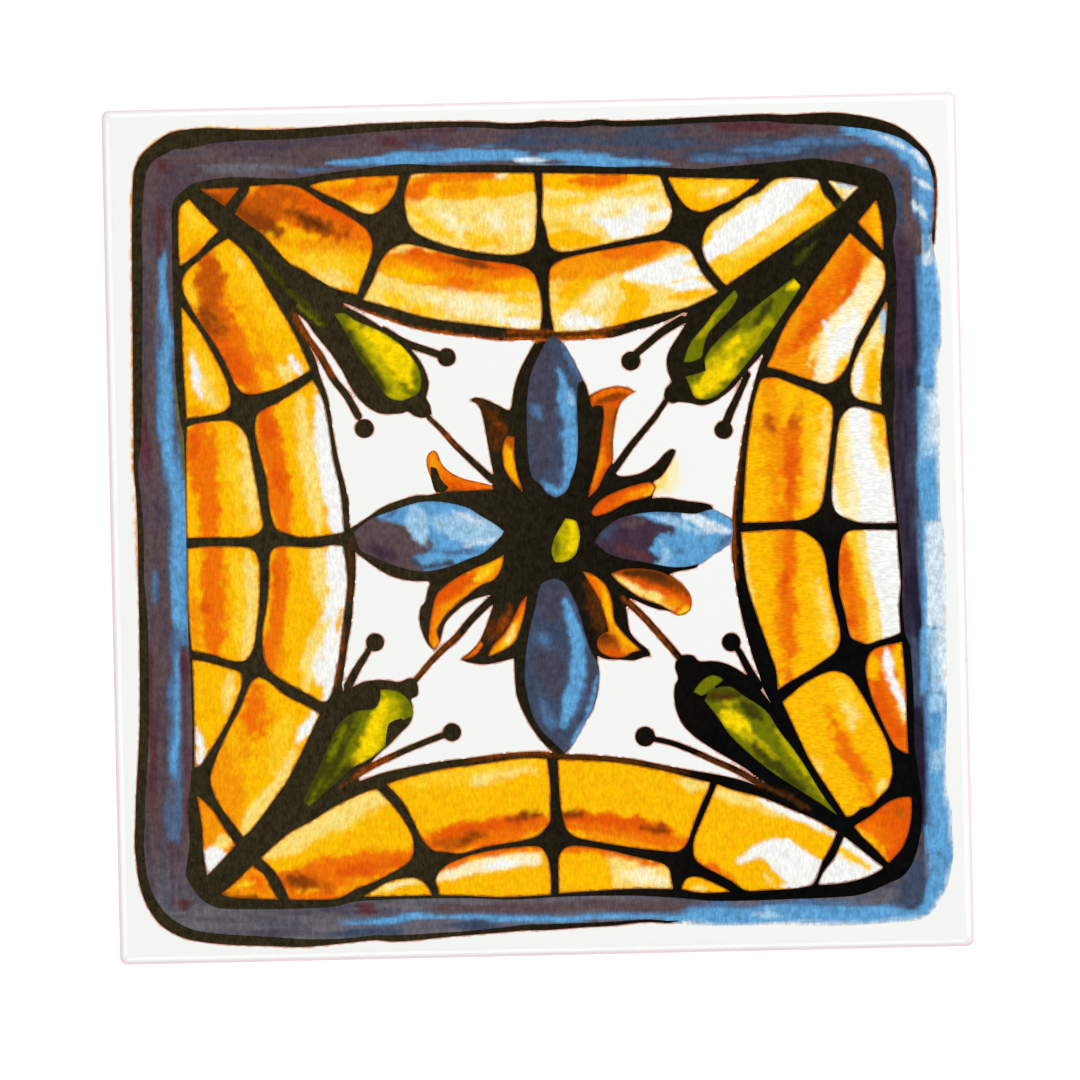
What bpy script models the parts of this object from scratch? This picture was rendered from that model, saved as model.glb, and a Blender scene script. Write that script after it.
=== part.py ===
"""A square glazed wall tile, pressed and fired as one piece.

Metres, +Z up. The tile lies on its back with the glazed face up, and its origin is the
centre of the back. +X points to the right of the pattern and +Y to its top.
"""

import math

import bmesh
import bpy
from mathutils import Matrix, Vector

MM = 0.001

# Driving dimensions of the blank
SIDE = 100.0 * MM
THICKNESS = 6.5 * MM
CORNER_RADIUS = 0.9 * MM  # the corners, seen from above
CORNER_STEPS = 5
ARRIS_WIDTH = 1.3 * MM  # the cushioned edge round the face, seen from above
ARRIS_DROP = 0.9 * MM  # how far the face has fallen where it meets the side
ARRIS_STEPS = 6
TAPER_HEIGHT = 1.7 * MM  # below this height the sides lean in, as they leave the die
TAPER_INSET = 0.35 * MM

# Keying grooves pressed into the back, for the adhesive. They stop short of the sides,
# and an even number of them leaves a flat land across the centre.
GROOVE_COUNT = 12
GROOVE_PITCH = 7.2 * MM
GROOVE_WIDTH = 3.8 * MM  # at the mouth
GROOVE_DEPTH = 0.6 * MM
GROOVE_DRAFT = 0.35 * MM  # by which each wall of a groove leans in towards its floor
GROOVE_LENGTH = SIDE - 15.0 * MM
CUTTER_BELOW = 1.0 * MM  # how far the cutters reach out of the back

GLAZE_WHITE = (0.86, 0.87, 0.85, 1.0)
GLAZE_ROUGHNESS = 0.22
SMOOTH_BELOW = math.radians(30)


def clear_scene():
    for obj in list(bpy.data.objects):
        bpy.data.objects.remove(obj)


def new_collection(name):
    collection = bpy.data.collections.new(name)
    bpy.context.scene.collection.children.link(collection)
    return collection


def glaze_material():
    material = bpy.data.materials.new("white_glaze")
    material.use_nodes = True
    shader = material.node_tree.nodes["Principled BSDF"]
    shader.inputs["Base Color"].default_value = GLAZE_WHITE
    shader.inputs["Roughness"].default_value = GLAZE_ROUGHNESS
    shader.inputs["Metallic"].default_value = 0.0
    return material


def upright(edge):
    """True for an edge that runs from the back towards the face."""
    along = edge.verts[0].co - edge.verts[1].co
    return abs(along.z) > max(abs(along.x), abs(along.y))


def inset_scale(inset):
    """The scale that draws the tile's outline in by the inset on each side."""
    return 1 - 2 * inset / SIDE


def add_arris(shape):
    """Raises the top face in short steps along a quarter of an ellipse."""
    top = max(shape.faces, key=lambda face: face.calc_center_median().z)
    inset, rise = 0.0, 0.0
    for step in range(1, ARRIS_STEPS + 1):
        turn = math.pi / 2 * step / ARRIS_STEPS
        next_inset = ARRIS_WIDTH * (1 - math.cos(turn))
        next_rise = ARRIS_DROP * math.sin(turn)
        scale = inset_scale(next_inset) / inset_scale(inset)
        top = bmesh.ops.extrude_discrete_faces(shape, faces=[top])["faces"][0]
        ring = list(top.verts)
        bmesh.ops.scale(shape, vec=Vector((scale, scale, 1)), verts=ring)
        bmesh.ops.translate(shape, vec=Vector((0, 0, next_rise - rise)), verts=ring)
        inset, rise = next_inset, next_rise


def tile_mesh():
    """The blank: a slab with tapered feet, round corners and a cushioned arris."""
    low = THICKNESS - ARRIS_DROP
    shape = bmesh.new()
    bmesh.ops.create_cube(shape, size=1.0)
    bmesh.ops.scale(shape, vec=Vector((SIDE, SIDE, low)), verts=shape.verts)
    bmesh.ops.translate(shape, vec=Vector((0, 0, low / 2)), verts=shape.verts)

    # A ring of edges round the sides, below which the sides lean in to the back.
    everything = shape.verts[:] + shape.edges[:] + shape.faces[:]
    ring_at = Vector((0, 0, TAPER_HEIGHT))
    bmesh.ops.bisect_plane(shape, geom=everything, plane_co=ring_at, plane_no=Vector((0, 0, 1)))
    foot = [vert for vert in shape.verts if vert.co.z < TAPER_HEIGHT / 2]
    taper = inset_scale(TAPER_INSET)
    bmesh.ops.scale(shape, vec=Vector((taper, taper, 1)), verts=foot)

    bmesh.ops.bevel(
        shape,
        geom=[edge for edge in shape.edges if upright(edge)],
        offset=CORNER_RADIUS,
        segments=CORNER_STEPS,
        profile=0.5,
        affect="EDGES",
    )
    add_arris(shape)

    mesh = bpy.data.meshes.new("tile")
    shape.to_mesh(mesh)
    shape.free()
    mesh.shade_smooth()
    mesh.set_sharp_from_angle(angle=SMOOTH_BELOW)
    return mesh


def groove_cutter(collection):
    """All the keying grooves as one cutter: a drafted bar, repeated by an Array."""
    bar = bmesh.new()
    bmesh.ops.create_cube(bar, size=1.0)
    bmesh.ops.scale(bar, vec=Vector((GROOVE_LENGTH, GROOVE_WIDTH, 1)), verts=bar.verts)
    for vert in bar.verts:
        above = vert.co.z > 0
        vert.co.z = GROOVE_DEPTH if above else -CUTTER_BELOW
        # One slope from end to end, so that the bar has the stated width at the back.
        lean = GROOVE_DRAFT * vert.co.z / GROOVE_DEPTH
        vert.co.x -= lean * math.copysign(1, vert.co.x)
        vert.co.y -= lean * math.copysign(1, vert.co.y)
    mesh = bpy.data.meshes.new("groove_cutter")
    bar.to_mesh(mesh)
    bar.free()

    cutter = bpy.data.objects.new("groove_cutter", mesh)
    cutter.matrix_world = Matrix.Translation((0, -GROOVE_PITCH * (GROOVE_COUNT - 1) / 2, 0))
    cutter.hide_render = True
    cutter.display_type = "WIRE"
    collection.objects.link(cutter)

    rows = cutter.modifiers.new("rows", "ARRAY")
    rows.count = GROOVE_COUNT
    rows.use_relative_offset = False
    rows.use_constant_offset = True
    rows.constant_offset_displace = (0, GROOVE_PITCH, 0)
    return cutter


def main():
    clear_scene()
    parts = new_collection("patterned_tile")
    cutters = new_collection("cutters")

    tile = bpy.data.objects.new("tile", tile_mesh())
    tile.data.materials.append(glaze_material())
    parts.objects.link(tile)

    keying = tile.modifiers.new("keying_grooves", "BOOLEAN")
    keying.operation = "DIFFERENCE"
    keying.solver = "EXACT"
    keying.object = groove_cutter(cutters)


main()
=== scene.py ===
"""Looks of a square glazed wall tile with a stained-glass style flower pattern.

The face is drawn in millimetres, with +X to the right and +Y to the top of the pattern. The
drawing's outlines cut one fine sheet into separate pieces of glaze, so every painted edge is
an edge in the mesh, and brush strokes colour the points of those pieces.
"""

import math
import re

import bmesh
import bpy
import numpy as np
from mathutils import Matrix, Vector


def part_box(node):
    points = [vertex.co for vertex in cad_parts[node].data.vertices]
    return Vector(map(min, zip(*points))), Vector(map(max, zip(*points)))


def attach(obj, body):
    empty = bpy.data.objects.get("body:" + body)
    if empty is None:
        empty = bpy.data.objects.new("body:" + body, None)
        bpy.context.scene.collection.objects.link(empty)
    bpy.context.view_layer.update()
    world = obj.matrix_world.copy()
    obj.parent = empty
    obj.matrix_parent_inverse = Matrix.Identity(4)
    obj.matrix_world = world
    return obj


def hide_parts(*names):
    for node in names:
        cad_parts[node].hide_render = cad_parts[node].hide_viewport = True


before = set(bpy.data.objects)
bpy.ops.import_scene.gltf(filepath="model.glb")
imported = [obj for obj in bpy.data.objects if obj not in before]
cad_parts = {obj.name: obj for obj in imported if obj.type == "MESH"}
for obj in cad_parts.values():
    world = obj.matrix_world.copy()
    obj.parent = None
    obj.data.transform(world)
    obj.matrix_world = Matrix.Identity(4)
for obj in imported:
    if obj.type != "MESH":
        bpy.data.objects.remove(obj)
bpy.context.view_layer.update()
TILE_LOW, TILE_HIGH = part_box("tile")

MM = 0.001

# The blank in millimetres. The frame's own box gives its size
HALF = (TILE_HIGH.x - TILE_LOW.x) / 2 / MM
TOP = TILE_HIGH.z / MM
CORNER_RADIUS = 0.9
ARRIS_WIDTH = 1.3
ARRIS_DROP = 0.9
SHOULDER = TOP - ARRIS_DROP
TAPER_HEIGHT = 1.7
TAPER_INSET = 0.35
GROOVE_COUNT = 12
GROOVE_PITCH = 7.2
GROOVE_WIDTH = 3.8
GROOVE_DEPTH = 0.6
GROOVE_DRAFT = 0.35
GROOVE_LENGTH = 85.0

# The sheet of glaze over the face
FLAT = HALF - ARRIS_WIDTH
SHEET_CELLS = 390
SNAP = 0.02  # a point nearer than this to an outline is taken to lie on it
GLAZE_THICKNESS = 0.1
ARRIS_STEPS = 8

# The drawn lines: how far a field is worked out beyond one, its value past that, the spacing
# of its points, and the turns, in degrees, from which it is no longer smooth and fully sharp
REACH = 1.5
FAR = 50.0
LINE_STEP = 0.3
SMOOTH_TURN = 42.0
SHARP_TURN = 76.0
TINY = 1e-6  # a length that counts as none

# The brush. A stroke tapers towards its ends over a share of its run, or over so many widths if
# that is less, down to a blunt tip. It is worked out to a margin past its soft edge. The paint
# of a shape bleeds under the ink round it
TIP_SHARE = 0.4
TIP_WIDTHS = 2
TIP_BLUNT = 0.15
STROKE_MARGIN = 1
BLEED = 0.4

# Unevenness: waves of a size, a share and a seed, and streaks of a breadth, a length and a seed
WOBBLE = [(1.6, 0.4, 3), (0.7, 0.3, 4), (0.35, 0.2, 5)]
DRIP = [(3.0, 0.16, 8), (0.9, 0.05, 9)]
FINE_STREAKS = (0.4, 3.5, 11)
BROAD_STREAKS = (1.1, 9, 21)
MITRE = 3  # over how much the streaks of two sides blend where they meet

# Colours of the paint, as 8-bit sRGB
PAINT = {
    "white": (247, 248, 245),
    "milk": (254, 242, 192),
    "cream": (253, 226, 124),
    "straw": (255, 209, 36),
    "gold": (254, 192, 0),
    "amber": (246, 154, 3),
    "orange": (240, 116, 3),
    "scarlet": (229, 92, 2),
    "rust": (192, 88, 6),
    "brown": (136, 62, 5),
    "umber": (84, 44, 8),
    "ice": (218, 236, 248),
    "pale_blue": (160, 205, 236),
    "sky": (98, 166, 218),
    "mid_blue": (80, 116, 158),
    "steel": (66, 77, 100),
    "slate": (95, 77, 79),
    "dusk": (108, 103, 110),
    "storm": (72, 70, 86),
    "purple": (68, 50, 66),
    "maroon": (92, 52, 58),
    "navy": (36, 30, 50),
    "yellow": (255, 219, 0),
    "lime": (192, 178, 0),
    "olive": (116, 120, 2),
    "moss": (66, 66, 8),
    "thin_ink_sheen": (50, 43, 24),
    "ink": (24, 19, 12),
    "black": (5, 4, 4),
    "pink": (240, 200, 212),
    "rose": (206, 164, 170),
}


def linear(name):
    """The colour of that name as the shader takes it."""
    value = np.array(PAINT[name]) / 255
    return np.where(value <= 0.04045, value / 12.92, ((value + 0.055) / 1.055) ** 2.4)


# The border's outer edge, clockwise from the left: x, y and the ink line's width there
BORDER_EDGE = """
-46.8,-5,.7 -46.75,0,.7 -46.85,5,.55 -47.05,8,.5 -47,11,.9 -46.95,15,1.05 -46.85,22,1.1 -46.75,30,1.25
-46.6,37,1.15 -46.3,42.5,1.4 -45.75,44,1.5 -45.1,44.9,1.5 -43.5,46.2,1.8 -42,47.1,2 -40.4,47.45,2.3
-37.5,47.6,1.9 -34,47.4,1.4 -31,47.25,1.2 -27.5,47.3,1.2 -22.5,47.5,1.1 -18,47.7,1 -10,47.75,.7
-5,47.6,.7 -3,47.4,.7 0,47.4,.7 1.5,47.55,.7 5,47.4,.7 8,47.6,.7 10,47.4,.7 14,47.4,.7 20,47.6,.7
27.5,47.8,.85 30,47.65,1 34,47.8,1.4 36,47.75,1.5 38,47.5,1.5 40,47.1,1.4 42,46.5,1.3 43.5,45.75,1.1
44.5,45,.9 45.75,43.75,.7 46.6,42.75,.6 47.1,41.5,.5 47.45,40,.45 47.5,38.5,.35 47.4,36.5,.28
47.25,34.5,.3 47.1,32.6,.3 47,31.5,-.3 47.5,28.75,-.3 47.7,26,-.3 47.7,21,-.3 47.4,19.5,-.3
47.1,17.2,-.3 47.25,12,-.3 47.1,5,-.3 47.1,.5,-.3 47.5,-2,-.3 47.5,-12,-.3 47.4,-18,-.3
47.25,-24.5,-.3 47.1,-27,-.3 47.1,-31.5,-.3 47.5,-33.5,-.3 47.7,-35,-.3 47.6,-36,-.3 47.7,-39,-.3
47.25,-41.5,-.3 46.75,-43.25,-.3 46,-44.5,-.3 45,-45.9,-.3 43.5,-46.75,-.3 40,-47,-.3 34,-47.2,-.3
28,-47,-.3 20,-46.9,-.3 16.4,-46.7,-.3 15.6,-46.4,.15 14,-46.45,.3 12,-46.3,.35 10,-46.4,.4
8,-46.6,.5 4,-46.75,.55 0,-46.95,.7 -2.5,-46.95,.7 -5,-47.1,.6 -10,-47.4,.5 -13,-47.6,.6
-15,-47.8,.7 -18,-47.9,.75 -20,-47.7,.6 -24,-48,.6 -28.5,-48.3,.95 -32.5,-48.1,1.1 -36.5,-47.9,1.2
-40,-47.5,1.2 -42.25,-47,1.3 -44.1,-46.1,1.4 -45.4,-45,1.4 -46.4,-43.5,1.3 -47.05,-42,1.2
-47.55,-40,1.1 -47.75,-38,1.05 -47.9,-36,1.1 -47.75,-33,1.1 -47.6,-30,1.1 -47.2,-25,1.1
-46.95,-20,1.1 -46.8,-10,1
"""

# The edge between the blue border and the lead lines, clockwise from the left
LEAD_EDGE = """
-41.95,38 -41.95,20 -41.7,15.5 -41.45,13.2 -41.1,11.5 -41.1,0 -41.1,-11 -41.05,-14 -40.95,-16 -40.9,-22
-41.1,-27.7 -41.6,-32 -41.5,-36 -42,-39.5 -41.6,-40.5 -40.5,-42.25 -39.5,-43 -38.25,-43.55 -36,-43.7
-32.5,-43.8 -25,-43.7 -22,-43.1 -10,-43 -4,-43.3 2,-43.1 10,-43.15 15,-43.5 20,-44 30,-43.95
36,-43.75 38,-43.25 40,-42.4 41.5,-41.75 42.5,-40.75 43.25,-39.25 43.75,-37.5 44.1,-35 44.1,-32
43.75,-29 43.45,-26 43.5,-22 43.2,-15 42.6,-13 42.4,-10 42.5,-5 42.2,-1 41.9,5 41.8,12 42.1,15
42.1,20 42.5,25 42.5,30 42.25,33 42.6,34.5 42.7,36.5 42.45,38.25 42.1,39.5 41.5,40.4 40.5,41
39,41.4 37,41.9 35,42.25 33,42.5 30,42.25 25,41.9 22,41.7 20,41.55 14,41.9 10,42 5,42.3 0,42.4
-5,42.6 -10,42.6 -15,42.9 -20,42.4 -24,42 -28,41.5 -35,41.8 -38.5,41.4 -39.5,41.1 -40.5,40.4 -41.5,39.5
"""

# The white field that the flower lies on, clockwise from the top left
FIELD_EDGE = """
-22,26.75 -20,25.9 -18,25.1 -15,24 -12,23.2 -9,22.7 -6.5,22.4 -4,22.05 0,21.95 4,21.9 9,22.1 10,22.3
12,22.9 14,23.4 16,24.1 17.5,24.8 17.5,24.8 23,24.5 26.75,19.6 26.75,19.6 26,17.5 25.4,15.5 24.75,13
24.1,10 23.6,7 23.25,5 22.9,2 22.7,0 22.6,-3.5 22.75,-5 23.1,-8 23.6,-10.75 24.1,-13 24.75,-15.5
25.4,-17.5 25.9,-19.25 25.9,-19.25 27.5,-23 29,-32.4 28,-32.1 28,-32.1 26,-31.1 24,-30.25
21.5,-29.5 17,-28.6 14,-27.95 10,-27.1 5,-26.55 2.25,-26.4 0,-26.1 -2.5,-26.1 -5.5,-26.3 -8,-26.6
-12,-27 -16.5,-27.7 -19,-28.25 -21.5,-29.1 -21.5,-29.1 -22.5,-24 -23.25,-17.75 -23.25,-17.75
-22.9,-15.5 -22.5,-13 -22,-10.5 -21.75,-8 -21.45,-5.5 -21.4,-2.25 -21.95,1 -22,3.5 -22.4,5.5
-23.1,8.5 -23.6,11.5 -23.9,14 -24.25,16 -25,18.25 -25.6,20.5 -26.75,23 -28,26 -28,26 -27,27
"""

# Ochre blocks of each side. A shape's row has its ground colour and its outline. The rows of the
# brush strokes over it follow: colour, width, softness and route
TOP_BLOCKS = """
rust -38.6,40.5 -33.9,40.6 -35.7,38.4
  orange .7 .9 -38,40.3 -35.5,40.3
  brown 1.4 1.2 -37.4,39.8 -35.6,38.6
amber -26,40.6 -23.5,39.25 -22,38.6 -20.25,37.5 -18.9,37.1 -17.75,37.4 -16.5,38.5 -15.6,40 -15.25,41.6
-20,41.5 -24,41.1
  orange 2.2 1.2 -23,40 -20,40.2 -17,40
  scarlet 1.2 1 -18.4,40 -16.6,40.6
  straw 1.6 .8 -21.6,38 -19.5,37.9 -17.8,38
  cream .9 .7 -20.4,37.7 -18.4,37.6
  gold 1 .8 -24.6,41 -21,41.2
cream -13.9,41.7 -14.4,40.5 -14.75,39 -14.5,36.5 -13.9,35.25 -12.75,34.4 -10,33.25 -7,32.5 -4,32.05 -2,32
-.5,32.3 .25,33 .6,35 .75,38 .5,41.55 -10,41.8
  gold 3.3 .35 -17,40.2 -8,40.3 3,40.3
  orange 1.3 .8 -14,41.1 -9,41.2 -4,41.3
  orange 2.4 1.2 -15.5,38.9 -13.6,39.8 -11.6,40.8
  amber 1.6 1.4 -10,40 -6,40
  milk 1 .6 -3.8,41.3 -2.6,41.4
  milk 2.6 2 -10.5,36.6 -8.5,35.4
  milk 2.2 1.6 -5,36.4 -3,35.6
  milk 1.6 1.4 -.6,37.6 -.6,34
  straw 1.8 1.4 -14,37.6 -12,36 -9.6,34.4
  straw 1.6 1.2 -7.4,34 -4,33.8
  gold 1.2 .9 -6.6,33.2 -4.6,33.6 -3,33
gold -34.6,37.5 -34,38.5 -33,40 -32.75,40.75 -27.4,40.6 -24,38.5 -22,37.4 -20,36 -19,35 -18.6,33.75
-18.6,32.75 -19.1,31.25 -19.9,29.25 -20.5,27.7 -24,28.9 -26.75,30.75 -28.25,31.5 -30,33.4 -31.5,35.1
-33,36.25
  amber 2 1.4 -30.6,34.6 -27,33.6 -23,33.4 -19.6,33
  orange 6 1.2 -34,39.2 -29,38.6 -25,37.6 -18.6,34.2
  scarlet 2 1.4 -29.5,39.6 -26,38.8 -21.4,36.2
  rust 4.6 2 -35.4,38.6 -31.4,38 -27.6,37.6
  rust 1.4 1.4 -31,40.2 -26.4,39.4
  brown 2.8 1.6 -35,38 -31.8,36.4 -29.8,35.4
  brown 2.4 1.6 -28.4,37.8 -25.4,36.2 -22.4,34.9
  umber .8 1 -27,37 -24.4,35.8
  straw 2.4 1.8 -27,32.2 -23.5,31.4 -20,30.4
  cream 1.6 1.6 -25,30.2 -20.8,28.8
cream -17.1,32.4 -16.25,33.1 -15.25,33.55 -14,33.5 -10,32.4 -7,31.6 -4,31.2 -1.5,30.75 0,30 .6,28.75 1,27
1.1,25 .75,23.05 -3,23.4 -6.5,23.9 -10,24.4 -13,25 -16.5,26.1 -19.9,27.1 -18.6,29.5 -18,31
  amber 4.6 .5 -20,31.6 -13,30.8 -7,30 0,29.2 4,28.9
  gold 1.6 1.2 -17,30.4 -12,29.8
  gold 2 1.2 -4,28.6 .6,28.2
  orange 1.8 1 -16,32.4 -11,31.4 -5,30.4 0,29.9
  scarlet 1.1 .8 -16,33 -12,32.2 -7,31.2 -1,30.6
  brown .8 .7 -9.6,31.6 -7,31 -4.6,30.5
  orange 1.6 1 -9.6,29.2 -7.6,28.8 -5.8,28.9
  straw 1.6 1.2 -18.6,28 -14,26.4 -9,25.4
  milk 2.2 1.6 -12,27.2 -6,26 -1,25.6
  white 1.2 1.2 -4,24.6 .4,24.2
  gold 1 .9 -15.2,26.2 -13.4,25.6
  straw 1.2 1 -3,26.8 .6,26.6
cream 1.4,41.5 1.4,39 1.25,36.5 1.6,35.25 2.1,33 2.6,32.45 3.4,32.2 5,32.3 10,33.25 14,34 15.25,34.4
16.1,35.25 16.5,36.25 16.4,37.5 15.9,38.75 15.1,40.9 10,41.2
  gold 2.9 .4 0,40.5 7,40.5 11,40.9 17,42
  orange 1.9 .9 4.8,40.5 8,40.4 11.2,40.6
  straw 1.2 1.2 2,38 6,38.2 10,38.6 14.6,39.2
  milk 2 1.2 5.6,37 9,37.4 14.8,38
  white 2.8 1.3 7.6,35.8 11,35.4 15.4,36.4
  white 1.2 .8 9.4,34 14,34.7
  gold 2.6 .6 1.4,33.8 5,33.7 7.6,33.6
  straw 1.2 .8 2,35.2 4.6,35.4
gold 16,40.7 16.6,39.5 17.4,38.1 18.4,37 19.5,36.55 20.5,36.6 22,37.2 24,38 25.5,39 27,40.2
  straw 1.6 1.2 19,39.6 24.6,39.6
  cream 1 1 20.2,38.8 23,38.8
  milk .6 .7 21.6,39 22.8,39
straw 28.9,40.25 26.5,38.6 25,38 23.5,36.9 21.75,35.9 20.4,34.5 19.9,32.5 20.25,31 21,29.75 22.6,27.8
25,29.4 29,32 33,34.6 35.75,36.4 35,37.5 34.25,38.4 33.6,40
  gold 1.8 1 20.6,35.2 23.4,37.2 28.4,40
  cream 1.8 1.2 21.6,34.6 25.4,37.4 30.4,40
  white 3.1 .5 18.6,30.4 25,34.7 29,37.6 35,41.4
  cream 1.2 .8 23.4,31 28,33.8 32.6,36.6
  gold 1.4 .8 22,28.4 26,30.8 31,33.9 35.6,36.7
  gold 1.4 .8 32.8,37.4 34.8,36.4
milk 34.6,40 38.5,39.1 36.6,37.3
  cream .8 .8 35.4,39.2 36.6,37.8
  pale_blue .8 .8 36.4,39.3 38,39.1
cream 2.1,30.25 3,31.1 5,31.75 10,32.6 15,33.3 16.5,33.1 17.75,32.75 18.6,32 19.25,30.75 20,29.25
21.8,27.1 18,25.4 15,24.75 12,24 9,23.3 6,22.9 2.4,22.8 2,25.5 1.9,28
  amber 4.4 .7 0,30 5,30.4 10,31.6 18,33.4
  orange 1.6 1 8.4,31.8 12,32.2 16.4,33
  gold 2.4 1.2 2.4,27.8 4.6,27.6 7,28.6
  straw 1.6 1 2.2,26 4.4,25.8
  white 1.8 1.2 3,24 7.6,24
  milk 1.8 1.4 6.4,26.6 9.4,27.4
  white 2.6 .5 11.2,29.3 15,29.5 19.6,29.6
  white 1.6 .6 15.6,28 20.6,28
  white 1.2 .5 15,30.6 18.4,31.2
  gold 3 .5 10.6,28.2 12.4,26.4 9.6,23.4
  gold 1.2 .8 16,26.6 21,27.2
  cream 1.2 1 13.4,25 17,25.8
"""
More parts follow.
